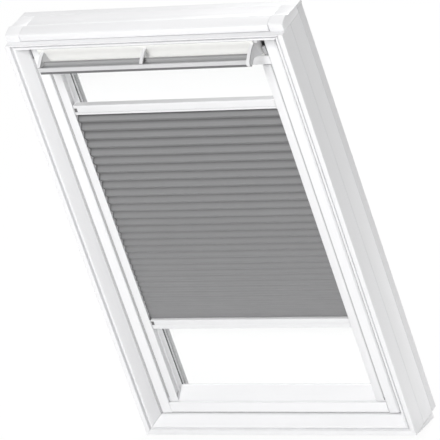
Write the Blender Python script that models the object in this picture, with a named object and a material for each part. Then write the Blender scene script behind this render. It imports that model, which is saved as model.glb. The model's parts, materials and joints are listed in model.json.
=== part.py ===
"""Centre-pivot roof window with a pleated blind in its sash.

The frame, the turning sash with its insulating glass, the ventilation flap with its
control bar, the sash lock and the blind are separate pieces, each one closed solid.
X runs to the right as seen from the room, Y runs from the room to the outside and Z
runs up the slope of the roof. Cross sections are drawn as (inset, depth) pairs: inset
is measured inwards from the nominal outer edge of the window, depth from the room face.
"""

import math

import bmesh
import bpy
from mathutils import Matrix, Vector

# Overall size of the frame
FRAME_WIDTH = 0.780
FRAME_HEIGHT = 1.180
FRAME_DEPTH = 0.129

# Clearances: between seated pieces, and around pieces that slide or turn
FIT = 0.0003
RUNNING = 0.0005

# Timber frame section
TIMBER_DEPTH = 0.102
FRAME_THICKNESS = 0.0415
LIP_WIDTH = 0.013
GROOVE_WIDTH = 0.0055
GROOVE_DEPTH = 0.010
BEAD_SETBACK = 0.004
BEAD_WIDTH = 0.0045
SPLAY_DEPTH = 0.031
SPLAY_SAGITTA = 0.0007
COLLAR_NOTCH_DEPTH = 0.050
COLLAR_NOTCH_WIDTH = 0.003
COLLAR_NOTCH_CUT = 0.0012

# Head of the frame, whose lip is lower and whose rebate takes the flap
HEAD_DROP = 0.0125
HEAD_LIP_WIDTH = 0.0035
HEAD_BEAD_WIDTH = 0.0045
HEAD_BEAD_SETBACK = 0.002
HEAD_REBATE_DEPTH = 0.040
CAPPING_SETBACK = 0.0155
CAPPING_FRONT_RISE = 0.007
CAPPING_RIDGE_RISE = 0.017
CAPPING_RIDGE_DEPTH = 0.045
CAPPING_BACK_RISE = 0.012
CAPPING_STEP = 0.0015
CAPPING_UNDERCUT = 0.0030
CAPPING_UNDERCUT_DEPTH = 0.006
CORNER_GROOVE_WIDTH = 0.003
CORNER_GROOVE_DEPTH = 0.003

# Packing wedge under the sill
WEDGE_SETBACK = 0.016
WEDGE_FRONT_DROP = 0.003
WEDGE_BACK_DROP = 0.017

# Sheet covers on the outside of the frame
COVER_SHEET = 0.0015
COVER_WIDTH = 0.041
COVER_CORNER = 0.003
SILL_COVER_ROUND = 0.011
HEAD_COVER_RISE = 0.0095
HEAD_COVER_BACK_RISE = 0.008

# Sash section
SASH_GAP = 0.0050
SASH_FRONT = 0.0315
SASH_BACK = 0.098
SASH_FACE_WIDTH = 0.0297
SASH_FACE_FALL = 0.0015
SASH_CHAMFER = 0.0035
REVEAL_RUN = 0.0278
REVEAL_END_DEPTH = 0.0735
QUIRK_WIDTH = 0.0028
QUIRK_DEPTH = 0.0055
GLASS_SEAT_DEPTH = 0.075
GLASS_REBATE = 0.0405
BOTTOM_GLASS_REBATE = 0.0335
HORN_RISE = 0.020
TOP_RAIL_REACH = 0.112
TOP_RAIL_REVEAL_RUN = 0.004
TOP_RAIL_REBATE = 0.092
TOP_RAIL_WALL_DEPTH = 0.060

# Insulating glass unit
PANE = 0.004
PANE_GAP = 0.014
PANE_EDGE_GAP = 0.002
SPACER_INSET = 0.004
SPACER_WIDTH = 0.007

# Covers and gaskets of the sash
SASH_COVER_INSET = 0.0025
SASH_COVER_WIDTH = 0.0490
BOTTOM_COVER_WIDTH = 0.0385
SASH_COVER_RISE = 0.0147
SASH_COVER_SIDE_RISE = 0.0057
TOP_COVER_WIDTH = 0.054
GASKET_DEPTH = 0.085
GASKET_WIDTH = 0.008

# Pivot hinges at mid height
PLATE_LENGTH = 0.080
PLATE_WIDTH = 0.036
SOCKET_THICKNESS = 0.006
PIN_PLATE_THICKNESS = 0.005
PIN_RADIUS = 0.008
COLLAR_RADIUS = 0.014

# Ventilation flap, its hinge knuckle and the control bar
FLAP_SIDE_GAP = 0.0108
FLAP_TOP_INSET = 0.029
FLAP_FOOT_INSET = 0.0815
FLAP_FOOT_DEPTH = 0.0338
FLAP_SAGITTA = 0.004
FLAP_THICKNESS = 0.003
FLAP_FLANGE = 0.013
FLAP_LIP_INSET = 0.0266
FLAP_LIP_THICKNESS = 0.0012
FLAP_CHEEK = 0.003
FLAP_CHEEK_DEPTH = 0.0375
KNUCKLE_RADIUS = 0.0035
KNUCKLE_INSET = 0.085
KNUCKLE_DEPTH = 0.0375
SEAL_DEPTH = 0.0035
SEAL_WIDTH = 0.007
ARM_THICKNESS = 0.009
ARM_TOP_INSET = 0.038
ARM_SEAT_END = 0.053
ARM_BOW = 0.0025
ARM_HEEL_REACH = 0.014
BAR_TOP_INSET = 0.055
BAR_LOW_INSET = 0.0764
BAR_BACK_REACH = 0.010
BAR_NOSE_REACH = 0.0332
BAR_LIP = 0.002
BAR_CHANNEL_DEPTH = 0.0062
BAR_CHANNEL_REACH = 0.0295
BAR_NOSE_FACE = 0.0094
ARM_RIM = 0.002

# Sash lock
CASE_HALF_WIDTH = 0.035
CASE_FRONT = 0.044
BOLT_HALF_WIDTH = 0.008
BOLT_DEPTH = 0.007
BOLT_LENGTH = 0.026
BOLT_THROW = 0.012
STRIKER_HALF_WIDTH = 0.030
STRIKER_THICKNESS = 0.002
STRIKER_RIM = 0.004

# Side rails of the blind
RAIL_FRONT = 0.0364
RAIL_BACK = 0.0585
RAIL_SHEET = 0.0015
RAIL_FLANGE_INSET = 0.0812
RAIL_EDGE_INSET = 0.104
RAIL_CHANNEL = 0.0060
RAIL_SIDE_CLEARANCE = 0.0006
RAIL_CAP = 0.003
CORD_RADIUS = 0.0006
CORD_INSET = 0.0992

# Blind bars and cloth
BAR_CLEARANCE = 0.0008
BLIND_BAR_FRONT = 0.0375
BLIND_BAR_BACK = 0.0570
TOP_BAR_INSET = 0.240
TOP_BAR_GROOVE = 0.0065
BOTTOM_BAR_LOW = 0.300
BOTTOM_BAR_GROOVE = 0.0140
BLIND_BAR_HEIGHT = 0.0265
BLIND_BAR_GROOVE_WIDTH = 0.0020
BLIND_BAR_GROOVE_DEPTH = 0.0010
BAR_WALL = 0.0020
BAR_CHAMFER = 0.0015
GLIDER_PLATE = 0.002
GLIDER_TONGUE_DEPTH = 0.0155
GLIDER_END_CLEARANCE = 0.0010
CLOTH_DEPTH = 0.0475
CLOTH_THICKNESS = 0.0008
CLOTH_EDGE_INSET = 0.101
CLOTH_TAB = 0.004
PLEAT_COUNT = 31
PLEAT_FACE = 0.0165
PLEAT_LOOSENESS = 0.59
PLEAT_EASE = 1.45

HALF_WIDTH = FRAME_WIDTH / 2
TOP_BAR_LOW = FRAME_HEIGHT - TOP_BAR_INSET
SASH_INSET = FRAME_THICKNESS + SASH_GAP
SASH_FACE_END = SASH_INSET + SASH_FACE_WIDTH
REVEAL_START_DEPTH = SASH_FRONT + 2 * SASH_FACE_FALL
FLAP_HALF_WIDTH = HALF_WIDTH - SASH_FACE_END - FLAP_SIDE_GAP
REBATE_INSET = SASH_INSET + GLASS_REBATE
BOTTOM_REBATE_INSET = SASH_INSET + BOTTOM_GLASS_REBATE
PANE_INSET = REBATE_INSET + PANE_EDGE_GAP
PANE_TOP_INSET = TOP_RAIL_REBATE + PANE_EDGE_GAP
PIVOT_DEPTH = (SASH_FRONT + SASH_BACK) / 2
PIVOT_HEIGHT = FRAME_HEIGHT / 2
GROOVE_END = LIP_WIDTH + GROOVE_WIDTH
HEAD_GROOVE = HEAD_DROP + HEAD_LIP_WIDTH
HEAD_LIP_END = HEAD_GROOVE + GROOVE_WIDTH + HEAD_BEAD_WIDTH
BLIND_BAR_END = HALF_WIDTH - RAIL_EDGE_INSET - BAR_CLEARANCE - GLIDER_PLATE - FIT
ORIGIN_DEPTH = (FRAME_DEPTH - BAR_NOSE_REACH - ARM_RIM) / 2
ORIGIN_HEIGHT = (FRAME_HEIGHT + CAPPING_RIDGE_RISE - WEDGE_BACK_DROP) / 2


def place(x, depth, height):
    """Point of the model for an offset from the middle, a depth and a height."""
    return Vector((x, depth - ORIGIN_DEPTH, height - ORIGIN_HEIGHT))


# Where a section's inset and depth lie on each side of the window

def on_left(inset, depth, along):
    return place(inset - HALF_WIDTH, depth, along)


def on_right(inset, depth, along):
    return place(HALF_WIDTH - inset, depth, along)


def on_sill(inset, depth, along):
    return place(along, depth, inset)


def on_head(inset, depth, along):
    return place(along, depth, FRAME_HEIGHT - inset)


SIDES = {"left": on_left, "right": on_right}


# Materials

def make_material(name, color, roughness, metallic=0.0, alpha=1.0):
    material = bpy.data.materials.new(name)
    material.use_nodes = True
    shader = material.node_tree.nodes["Principled BSDF"]
    shader.inputs["Base Color"].default_value = (*color, 1.0)
    shader.inputs["Roughness"].default_value = roughness
    shader.inputs["Metallic"].default_value = metallic
    shader.inputs["Alpha"].default_value = alpha
    material.diffuse_color = (*color, alpha)
    return material


# Sections: lists of (inset, depth) pairs

def arc(start, end, sagitta, count):
    """Points of an arc from start to end that bulges to the left of that direction."""
    run = (end[0] - start[0], end[1] - start[1])
    chord = math.hypot(*run)
    radius = (chord * chord / 4 + sagitta * sagitta) / (2 * sagitta)
    left = (-run[1] / chord, run[0] / chord)
    middle = ((start[0] + end[0]) / 2, (start[1] + end[1]) / 2)
    centre = tuple(m + (sagitta - radius) * n for m, n in zip(middle, left))
    first = math.atan2(start[1] - centre[1], start[0] - centre[0])
    half = math.asin(chord / 2 / radius)
    return [
        (centre[0] + radius * math.cos(first - 2 * half * i / count),
         centre[1] + radius * math.sin(first - 2 * half * i / count))
        for i in range(count + 1)
    ]


def round_arc(centre, radius, start_degrees, end_degrees, count):
    """Points on a circle from one angle to another."""
    angles = [
        math.radians(start_degrees + (end_degrees - start_degrees) * i / count)
        for i in range(count + 1)
    ]
    return [(centre[0] + radius * math.cos(a), centre[1] + radius * math.sin(a)) for a in angles]


def offset_path(path, distance):
    """Open path moved sideways to its left, with mitred corners."""
    moved = []
    for i, point in enumerate(path):
        before = path[max(i - 1, 0)]
        after = path[min(i + 1, len(path) - 1)]
        normals = []
        for a, b in ((before, point), (point, after)):
            length = math.hypot(b[0] - a[0], b[1] - a[1])
            if length > 0:
                normals.append(((a[1] - b[1]) / length, (b[0] - a[0]) / length))
        first, last = normals[0], normals[-1]
        bend = 1 + first[0] * last[0] + first[1] * last[1]
        shift = tuple(distance * (f + s) / bend for f, s in zip(first, last))
        moved.append((point[0] + shift[0], point[1] + shift[1]))
    return moved


def sheet(path, thickness):
    """Closed section of a bent sheet whose one face follows the path."""
    return path + offset_path(path, thickness)[::-1]


def box_section(low_inset, high_inset, low_depth, high_depth):
    return [
        (low_inset, low_depth), (high_inset, low_depth),
        (high_inset, high_depth), (low_inset, high_depth),
    ]


# Solids

def prism(section, where, start, stop):
    """Bmesh of a section swept straight from start to stop."""
    mesh = bmesh.new()
    rings = [
        [mesh.verts.new(where(inset, depth, along)) for inset, depth in section]
        for along in (start, stop)
    ]
    count = len(section)
    for i in range(count):
        j = (i + 1) % count
        mesh.faces.new((rings[0][i], rings[0][j], rings[1][j], rings[1][i]))
    mesh.faces.new(rings[0][::-1])
    mesh.faces.new(rings[1])
    bmesh.ops.recalc_face_normals(mesh, faces=mesh.faces)
    return mesh


def trim(mesh, point, outward):
    """Cut away what lies beyond a plane and close the cut."""
    everything = mesh.verts[:] + mesh.edges[:] + mesh.faces[:]
    cut = bmesh.ops.bisect_plane(
        mesh, geom=everything, plane_co=point, plane_no=outward, clear_outer=True, dist=1e-7
    )
    edges = [item for item in cut["geom_cut"] if isinstance(item, bmesh.types.BMEdge)]
    bmesh.ops.edgenet_fill(mesh, edges=edges)
    bmesh.ops.recalc_face_normals(mesh, faces=mesh.faces)


def loft(rectangles):
    """Solid through rectangles (x, low depth, high depth, low height, high height)."""
    mesh = bmesh.new()
    rings = []
    for x, low_depth, high_depth, low, high in rectangles:
        corners = (
            (low_depth, low), (high_depth, low), (high_depth, high), (low_depth, high)
        )
        rings.append([mesh.verts.new(place(x, depth, height)) for depth, height in corners])
    for near, far in zip(rings, rings[1:]):
        for i in range(4):
            j = (i + 1) % 4
            mesh.faces.new((near[i], near[j], far[j], far[i]))
    mesh.faces.new(rings[0][::-1])
    mesh.faces.new(rings[-1])
    bmesh.ops.recalc_face_normals(mesh, faces=mesh.faces)
    return mesh


def block(x_range, depth_range, height_range):
    return loft([(x, *depth_range, *height_range) for x in x_range])


def cylinder_x(x_range, depth, height, radius, segments=32):
    """Cylinder whose axis runs along X."""
    mesh = bmesh.new()
    length = abs(x_range[1] - x_range[0])
    turn = Matrix.Rotation(math.pi / 2, 4, "Y")
    shift = Matrix.Translation(place(sum(x_range) / 2, depth, height))
    bmesh.ops.create_cone(
        mesh, cap_ends=True, segments=segments, radius1=radius, radius2=radius,
        depth=length, matrix=shift @ turn,
    )
    return mesh


def make_object(name, mesh, material, axis=None, round_piece=False):
    """Named object from a bmesh, hung on the empty of its joint where it has one."""
    data = bpy.data.meshes.new(name)
    if axis:
        bmesh.ops.translate(mesh, verts=mesh.verts, vec=-axis.location)
    mesh.to_mesh(data)
    mesh.free()
    data.materials.append(material)
    if round_piece:
        data.shade_smooth()
        data.set_sharp_from_angle(angle=math.radians(30))
    piece = bpy.data.objects.new(name, data)
    bpy.context.collection.objects.link(piece)
    piece.parent = axis
    return piece


def combine(piece, mesh, operation):
    """Cut a shape out of a piece or add it to the piece, with an exact Boolean."""
    data = bpy.data.meshes.new(piece.name + "_tool")
    mesh.to_mesh(data)
    mesh.free()
    tool = bpy.data.objects.new(piece.name + "_tool", data)
    bpy.context.collection.objects.link(tool)
    tool.hide_render = True
    tool.display_type = "WIRE"
    modifier = piece.modifiers.new(operation.title(), "BOOLEAN")
    modifier.operation = operation
    modifier.object = tool


def make_axis(name, location):
    """Empty on a joint's axis, which carries the pieces of one moving body."""
    empty = bpy.data.objects.new(name, None)
    empty.location = location
    bpy.context.collection.objects.link(empty)
    return empty


# Frame

def lip_section():
    """Room side of the jambs and sill: lip, lining groove, bead and rounded splay."""
    bead_end = (GROOVE_END + BEAD_WIDTH, BEAD_SETBACK)
    splay = arc((FRAME_THICKNESS, SPLAY_DEPTH), bead_end, SPLAY_SAGITTA, 6)
    return [
        (0, 0),
        (LIP_WIDTH, 0),
        (LIP_WIDTH, GROOVE_DEPTH),
        (GROOVE_END, GROOVE_DEPTH),
        (GROOVE_END, BEAD_SETBACK),
    ] + splay[::-1] + [
        (FRAME_THICKNESS, TIMBER_DEPTH),
        (0, TIMBER_DEPTH),
    ]


def jamb_section():
    notch_front = COLLAR_NOTCH_DEPTH - COLLAR_NOTCH_WIDTH / 2
    return lip_section() + [
        (0, notch_front + COLLAR_NOTCH_WIDTH),
        (COLLAR_NOTCH_CUT, COLLAR_NOTCH_DEPTH),
        (0, notch_front),
    ]


def head_section():
    return [
        (HEAD_DROP, 0),
        (HEAD_GROOVE, 0),
        (HEAD_GROOVE, GROOVE_DEPTH),
        (HEAD_GROOVE + GROOVE_WIDTH, GROOVE_DEPTH),
        (HEAD_GROOVE + GROOVE_WIDTH, HEAD_BEAD_SETBACK),
        (HEAD_LIP_END, HEAD_BEAD_SETBACK),
        (HEAD_LIP_END, HEAD_REBATE_DEPTH),
        (FRAME_THICKNESS, HEAD_REBATE_DEPTH),
        (FRAME_THICKNESS, TIMBER_DEPTH),
        (HEAD_DROP, TIMBER_DEPTH),
    ]


def capping_section():
    """Stepped top of the head: upright front and a rounded ridge a little behind."""
    foot = HEAD_DROP - FIT
    back = TIMBER_DEPTH - FIT
    step_depth = (CAPPING_RIDGE_DEPTH + TIMBER_DEPTH) / 2
    return [(foot, CAPPING_SETBACK), (-CAPPING_FRONT_RISE, CAPPING_SETBACK)] + arc(
        (-CAPPING_FRONT_RISE - 0.003, CAPPING_SETBACK + 0.004),
        (-CAPPING_RIDGE_RISE, CAPPING_RIDGE_DEPTH), 0.0015, 3,
    ) + [
        (-CAPPING_BACK_RISE, CAPPING_RIDGE_DEPTH + 0.012),
        (-CAPPING_BACK_RISE, step_depth),
        (-CAPPING_BACK_RISE + CAPPING_STEP, step_depth + 0.001),
        (-CAPPING_BACK_RISE + CAPPING_STEP, back),
        (foot, back),
    ]


def capping_undercut():
    """Shadow gap under the front of the capping."""
    section = box_section(
        HEAD_DROP - CAPPING_UNDERCUT, HEAD_DROP, 0, CAPPING_SETBACK + CAPPING_UNDERCUT_DEPTH
    )
    return prism(section, on_head, -HALF_WIDTH, HALF_WIDTH)


def corner_groove(start, stop):
    """Shadow groove down the front of a corner block, beside the capping's end."""
    section = box_section(
        -CAPPING_RIDGE_RISE, HEAD_DROP, 0, CAPPING_SETBACK + CORNER_GROOVE_DEPTH
    )
    return prism(section, on_head, start, stop)


def mitre(mesh, where, low, high):
    """Trim a member's ends on the 45 degree planes through the frame's corners."""
    back_off = FIT / math.sqrt(2)
    corner = where(0, 0, high)
    inwards = where(1, 0, high) - corner
    along = where(0, 0, high + 1) - corner
    trim(mesh, corner - along * back_off, along + inwards)
    trim(mesh, where(0, 0, low) + along * back_off, inwards - along)


def build_frame(white, plate, cover):
    head_high = FRAME_HEIGHT - HEAD_DROP
    for side, where in SIDES.items():
        jamb = prism(jamb_section(), where, 0, head_high)
        mitre(jamb, where, 0, FRAME_HEIGHT)
        piece = make_object("frame_jamb_" + side, jamb, white)
        combine(piece, socket_pocket(where), "DIFFERENCE")

    sill = prism(lip_section(), on_sill, -HALF_WIDTH, HALF_WIDTH)
    mitre(sill, on_sill, -HALF_WIDTH, HALF_WIDTH)
    make_object("frame_sill", sill, white)

    head = prism(head_section(), on_head, -HALF_WIDTH, HALF_WIDTH)
    mitre(head, on_head, -HALF_WIDTH, HALF_WIDTH)
    piece = make_object("frame_head", head, white)
    combine(piece, striker_pocket(), "DIFFERENCE")
    combine(piece, bolt_well(), "DIFFERENCE")

    joint = HALF_WIDTH - FRAME_THICKNESS
    capping = prism(capping_section(), on_head, -joint + FIT / 2, joint - FIT / 2)
    piece = make_object("head_capping", capping, white)
    combine(piece, capping_undercut(), "DIFFERENCE")
    for side, sign in (("left", -1), ("right", 1)):
        corner = prism(capping_section(), on_head, sign * (joint + FIT / 2), sign * HALF_WIDTH)
        piece = make_object("head_corner_" + side, corner, white)
        groove_end = joint + FIT / 2 + CORNER_GROOVE_WIDTH
        combine(piece, corner_groove(sign * joint, sign * groove_end), "DIFFERENCE")

    wedge = prism(
        [
            (-FIT, WEDGE_SETBACK),
            (-FIT, TIMBER_DEPTH - FIT),
            (-WEDGE_BACK_DROP, TIMBER_DEPTH - FIT),
            (-WEDGE_FRONT_DROP, WEDGE_SETBACK),
        ],
        on_sill, -HALF_WIDTH, HALF_WIDTH,
    )
    make_object("sill_wedge", wedge, white)
    build_frame_covers(cover)
    build_striker(plate)


def cover_tail():
    """Back and inner leg that the outside covers share."""
    inner_corner = COVER_WIDTH - COVER_CORNER
    return [
        (inner_corner, FRAME_DEPTH),
        (COVER_WIDTH, FRAME_DEPTH - COVER_CORNER),
        (COVER_WIDTH, TIMBER_DEPTH + FIT),
    ]


def build_frame_covers(cover):
    foot = TIMBER_DEPTH + FIT
    jamb_path = [(0, foot), (0, FRAME_DEPTH - COVER_CORNER), (COVER_CORNER, FRAME_DEPTH)]
    jamb_path += cover_tail()
    for side, where in SIDES.items():
        mesh = prism(sheet(jamb_path, -COVER_SHEET), where, 0, FRAME_HEIGHT)
        mitre(mesh, where, 0, FRAME_HEIGHT)
        make_object("cover_jamb_" + side, mesh, cover)

    curve = round_arc(
        (SILL_COVER_ROUND, FRAME_DEPTH - SILL_COVER_ROUND), SILL_COVER_ROUND, 180, 90, 5
    )
    mesh = prism(
        sheet([(0, foot)] + curve + cover_tail(), -COVER_SHEET), on_sill, -HALF_WIDTH, HALF_WIDTH
    )
    mitre(mesh, on_sill, -HALF_WIDTH, HALF_WIDTH)
    make_object("cover_sill", mesh, cover)

    head_path = [
        (-HEAD_COVER_RISE, foot),
        (-HEAD_COVER_BACK_RISE, FRAME_DEPTH - COVER_CORNER),
        (COVER_CORNER - HEAD_COVER_BACK_RISE, FRAME_DEPTH),
    ]
    mesh = prism(
        sheet(head_path + cover_tail(), -COVER_SHEET), on_head, -HALF_WIDTH, HALF_WIDTH
    )
    mitre(mesh, on_head, -HALF_WIDTH, HALF_WIDTH)
    piece = make_object("cover_head", mesh, cover)
    end_section = head_path + [(-FIT, FRAME_DEPTH), (-FIT, foot)]
    for sign in (-1, 1):
        end = prism(end_section, on_head, sign * (HALF_WIDTH - COVER_SHEET), sign * HALF_WIDTH)
        combine(piece, end, "UNION")


# Pivot hinges

def plate_block(where, insets, clearance=0.0):
    """Upright hinge plate centred on the pivot axis."""
    section = box_section(
        *insets,
        PIVOT_DEPTH - PLATE_WIDTH / 2 - clearance,
        PIVOT_DEPTH + PLATE_WIDTH / 2 + clearance,
    )
    reach = PLATE_LENGTH / 2 + clearance
    return prism(section, where, PIVOT_HEIGHT - reach, PIVOT_HEIGHT + reach)


def socket_pocket(where):
    open_side = FRAME_THICKNESS + 0.01
    return plate_block(where, (FRAME_THICKNESS - SOCKET_THICKNESS, open_side), FIT)


def pin_pocket(where):
    return plate_block(where, (SASH_INSET - 0.01, SASH_INSET + PIN_PLATE_THICKNESS), FIT)


def pivot_cylinder(where, insets, radius):
    ends = sorted(where(inset, 0, 0).x for inset in insets)
    return cylinder_x(ends, PIVOT_DEPTH, PIVOT_HEIGHT, radius)


def build_pivots(steel, sash_axis):
    pin_end = FRAME_THICKNESS - SOCKET_THICKNESS + RUNNING
    for side, where in SIDES.items():
        plate = plate_block(where, (FRAME_THICKNESS - SOCKET_THICKNESS + FIT, FRAME_THICKNESS))
        socket = make_object("pivot_socket_" + side, plate, steel)
        bore = pivot_cylinder(where, (0, SASH_INSET), PIN_RADIUS + RUNNING)
        combine(socket, bore, "DIFFERENCE")

        pin_back = SASH_INSET + PIN_PLATE_THICKNESS - FIT
        plate = plate_block(where, (SASH_INSET, pin_back))
        pin = make_object("pivot_pin_" + side, plate, steel, sash_axis)
        middle = (SASH_INSET + pin_back) / 2
        collar = pivot_cylinder(where, (FRAME_THICKNESS + RUNNING, middle), COLLAR_RADIUS)
        combine(pin, collar, "UNION")
        combine(pin, pivot_cylinder(where, (pin_end, middle), PIN_RADIUS), "UNION")


# Sash

def reveal_inset(depth):
    """Inset of the sash's sloping reveal at a depth."""
    slope = REVEAL_RUN / (REVEAL_END_DEPTH - REVEAL_START_DEPTH)
    return SASH_FACE_END + (depth - REVEAL_START_DEPTH) * slope


def reveal_depth(inset):
    """Depth of the sash's sloping reveal at an inset."""
    slope = (REVEAL_END_DEPTH - REVEAL_START_DEPTH) / REVEAL_RUN
    return REVEAL_START_DEPTH + (inset - SASH_FACE_END) * slope


def sash_section(rebate_inset):
    """Face, quirk, sloping reveal and glazing rebate of the stiles and the bottom rail."""
    face_edge = 0.0015
    quirk_end = SASH_FACE_END + QUIRK_WIDTH
    return [
        (SASH_INSET, SASH_FRONT + SASH_CHAMFER),
        (SASH_INSET + SASH_CHAMFER, SASH_FRONT),
        (SASH_FACE_END - face_edge, SASH_FRONT + SASH_FACE_FALL / 2),
        (SASH_FACE_END, REVEAL_START_DEPTH),
        (SASH_FACE_END, REVEAL_START_DEPTH + QUIRK_DEPTH),
        (quirk_end, REVEAL_START_DEPTH + QUIRK_DEPTH),
        (quirk_end, reveal_depth(quirk_end)),
        (SASH_FACE_END + REVEAL_RUN, REVEAL_END_DEPTH),
        (SASH_FACE_END + REVEAL_RUN, GLASS_SEAT_DEPTH),
        (rebate_inset, GLASS_SEAT_DEPTH),
        (rebate_inset, SASH_BACK),
        (SASH_INSET, SASH_BACK),
    ]


def stile_scribe(where):
    """Shape of a stile's inner side with clearance, which the rails' ends are cut to."""
    section = [
        (0, 0),
        (SASH_FACE_END + FIT, 0),
        (SASH_FACE_END + FIT, REVEAL_START_DEPTH - FIT),
        (SASH_FACE_END + REVEAL_RUN + FIT, REVEAL_END_DEPTH - FIT),
        (SASH_FACE_END + REVEAL_RUN + FIT, GLASS_SEAT_DEPTH + FIT),
        (REBATE_INSET + FIT, GLASS_SEAT_DEPTH + FIT),
        (REBATE_INSET + FIT, FRAME_DEPTH),
        (0, FRAME_DEPTH),
    ]
    return prism(section, where, 0, FRAME_HEIGHT)


def top_rail_section():
    """Rail under the flap: knuckle groove, shelf for the lock and glazing rebate."""
    groove_radius = KNUCKLE_RADIUS + RUNNING
    face = math.degrees(math.asin((REVEAL_START_DEPTH - KNUCKLE_DEPTH) / groove_radius))
    groove = round_arc((KNUCKLE_INSET, KNUCKLE_DEPTH), groove_radius, face, 135, 12)
    shelf = groove[-1][0]
    reveal_inset = TOP_RAIL_REACH + TOP_RAIL_REVEAL_RUN
    return [(TOP_RAIL_REACH, REVEAL_START_DEPTH)] + groove + [
        (shelf, TOP_RAIL_WALL_DEPTH),
        (SASH_INSET, TOP_RAIL_WALL_DEPTH),
        (SASH_INSET, SASH_BACK),
        (TOP_RAIL_REBATE, SASH_BACK),
        (TOP_RAIL_REBATE, GLASS_SEAT_DEPTH),
        (reveal_inset, GLASS_SEAT_DEPTH),
        (reveal_inset, REVEAL_END_DEPTH),
    ]


def build_sash(white, sash_axis):
    horn_top = FRAME_HEIGHT - SASH_INSET + HORN_RISE
    for side, where in SIDES.items():
        stile = make_object(
            "sash_stile_" + side,
            prism(sash_section(REBATE_INSET), where, SASH_INSET, horn_top),
            white, sash_axis,
        )
        shoulder = prism(
            box_section(0, HALF_WIDTH, HEAD_REBATE_DEPTH - FIT, FRAME_DEPTH),
            where, FRAME_HEIGHT - SASH_INSET, FRAME_HEIGHT,
        )
        combine(stile, shoulder, "DIFFERENCE")
        combine(stile, pin_pocket(where), "DIFFERENCE")

    reach = HALF_WIDTH - SASH_INSET
    for name, section, where in (
        ("sash_bottom_rail", sash_section(BOTTOM_REBATE_INSET), on_sill),
        ("sash_top_rail", top_rail_section(), on_head),
    ):
        rail = make_object(name, prism(section, where, -reach, reach), white, sash_axis)
        for side in SIDES.values():
            combine(rail, stile_scribe(side), "DIFFERENCE")


def build_glazing(glass, spacer, sash_axis):
    low = BOTTOM_REBATE_INSET + PANE_EDGE_GAP
    high = FRAME_HEIGHT - PANE_TOP_INSET
    half = HALF_WIDTH - PANE_INSET
    inner = GLASS_SEAT_DEPTH + FIT
    outer = inner + PANE + PANE_GAP
    for name, front in (("glass_inner", inner), ("glass_outer", outer)):
        mesh = block((-half, half), (front, front + PANE), (low, high))
        make_object(name, mesh, glass, sash_axis)

    depths = (inner + PANE + FIT, outer - FIT)
    low += SPACER_INSET
    high -= SPACER_INSET
    half -= SPACER_INSET
    for name, sign in (("spacer_left", -1), ("spacer_right", 1)):
        mesh = block((sign * (half - SPACER_WIDTH), sign * half), depths, (low, high))
        make_object(name, mesh, spacer, sash_axis)
    half -= SPACER_WIDTH + FIT
    for name, base in (("spacer_bottom", low), ("spacer_top", high - SPACER_WIDTH)):
        mesh = block((-half, half), depths, (base, base + SPACER_WIDTH))
        make_object(name, mesh, spacer, sash_axis)


def build_sash_trim(cover, rubber, sash_axis):
    """Raised covers along the outside of the sash, and gaskets in the gap around it."""
    start = SASH_INSET + SASH_COVER_INSET
    base = SASH_BACK + FIT

    def cover_section(width):
        path = [
            (start, base),
            (start, base + SASH_COVER_SIDE_RISE),
            (start + 0.004, base + SASH_COVER_SIDE_RISE + 0.004),
            (start + width - COVER_CORNER, base + SASH_COVER_RISE),
            (start + width, base + SASH_COVER_RISE - 0.001),
            (start + width, base),
        ]
        return sheet(path, -COVER_SHEET)

    for side, where in SIDES.items():
        mesh = prism(cover_section(SASH_COVER_WIDTH), where, start, FRAME_HEIGHT - start)
        make_object("sash_cover_" + side, mesh, cover, sash_axis)
    reach = HALF_WIDTH - start - SASH_COVER_WIDTH - FIT
    mesh = prism(cover_section(TOP_COVER_WIDTH), on_head, -reach, reach)
    make_object("sash_cover_top", mesh, cover, sash_axis)
    strip = box_section(start, start + BOTTOM_COVER_WIDTH, base, base + COVER_SHEET)
    make_object("sash_cover_bottom", prism(strip, on_sill, -reach, reach), cover, sash_axis)

    gasket = box_section(
        FRAME_THICKNESS + 3 * FIT, SASH_INSET - FIT, GASKET_DEPTH, GASKET_DEPTH + GASKET_WIDTH
    )
    for name, where, reach in (
        ("gasket_left", on_left, None),
        ("gasket_right", on_right, None),
        ("gasket_bottom", on_sill, HALF_WIDTH - SASH_INSET),
        ("gasket_top", on_head, HALF_WIDTH - SASH_INSET),
    ):
        span = (-reach, reach) if reach else (SASH_INSET, FRAME_HEIGHT - SASH_INSET)
        make_object(name, prism(gasket, where, *span), rubber, sash_axis)


# Ventilation flap and control bar

def flap_front():
    """Face of the flap, hollow towards the room, from its top edge to its foot."""
    return arc(
        (FLAP_TOP_INSET, HEAD_BEAD_SETBACK), (FLAP_FOOT_INSET, FLAP_FOOT_DEPTH),
        FLAP_SAGITTA, 8,
    )


def flap_section():
    """Flap with a lip and a flange along the top and the hinge's knuckle at the foot."""
    front = flap_front()
    flange_back = FLAP_TOP_INSET + FLAP_THICKNESS
    back = [point for point in offset_path(front, FLAP_THICKNESS) if point[0] > flange_back]
    knuckle = round_arc((KNUCKLE_INSET, KNUCKLE_DEPTH), KNUCKLE_RADIUS, -105, 160, 14)
    lip_back = HEAD_BEAD_SETBACK + FLAP_LIP_THICKNESS
    top = [
        (flange_back, FLAP_FLANGE), (FLAP_TOP_INSET, FLAP_FLANGE), (FLAP_TOP_INSET, lip_back),
        (FLAP_LIP_INSET, lip_back), (FLAP_LIP_INSET, HEAD_BEAD_SETBACK),
    ]
    return front + knuckle + back[::-1] + top


def cheek_section():
    """Plate that closes the end of the flap, from inside its sheet to near the head."""
    edge = FLAP_TOP_INSET + FLAP_THICKNESS / 2
    inside = [point for point in offset_path(flap_front(), FLAP_THICKNESS / 2) if point[0] > edge]
    return inside + [
        (inside[-1][0], FLAP_CHEEK_DEPTH), (edge, FLAP_CHEEK_DEPTH), (edge, FLAP_FLANGE / 2)
    ]


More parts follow.
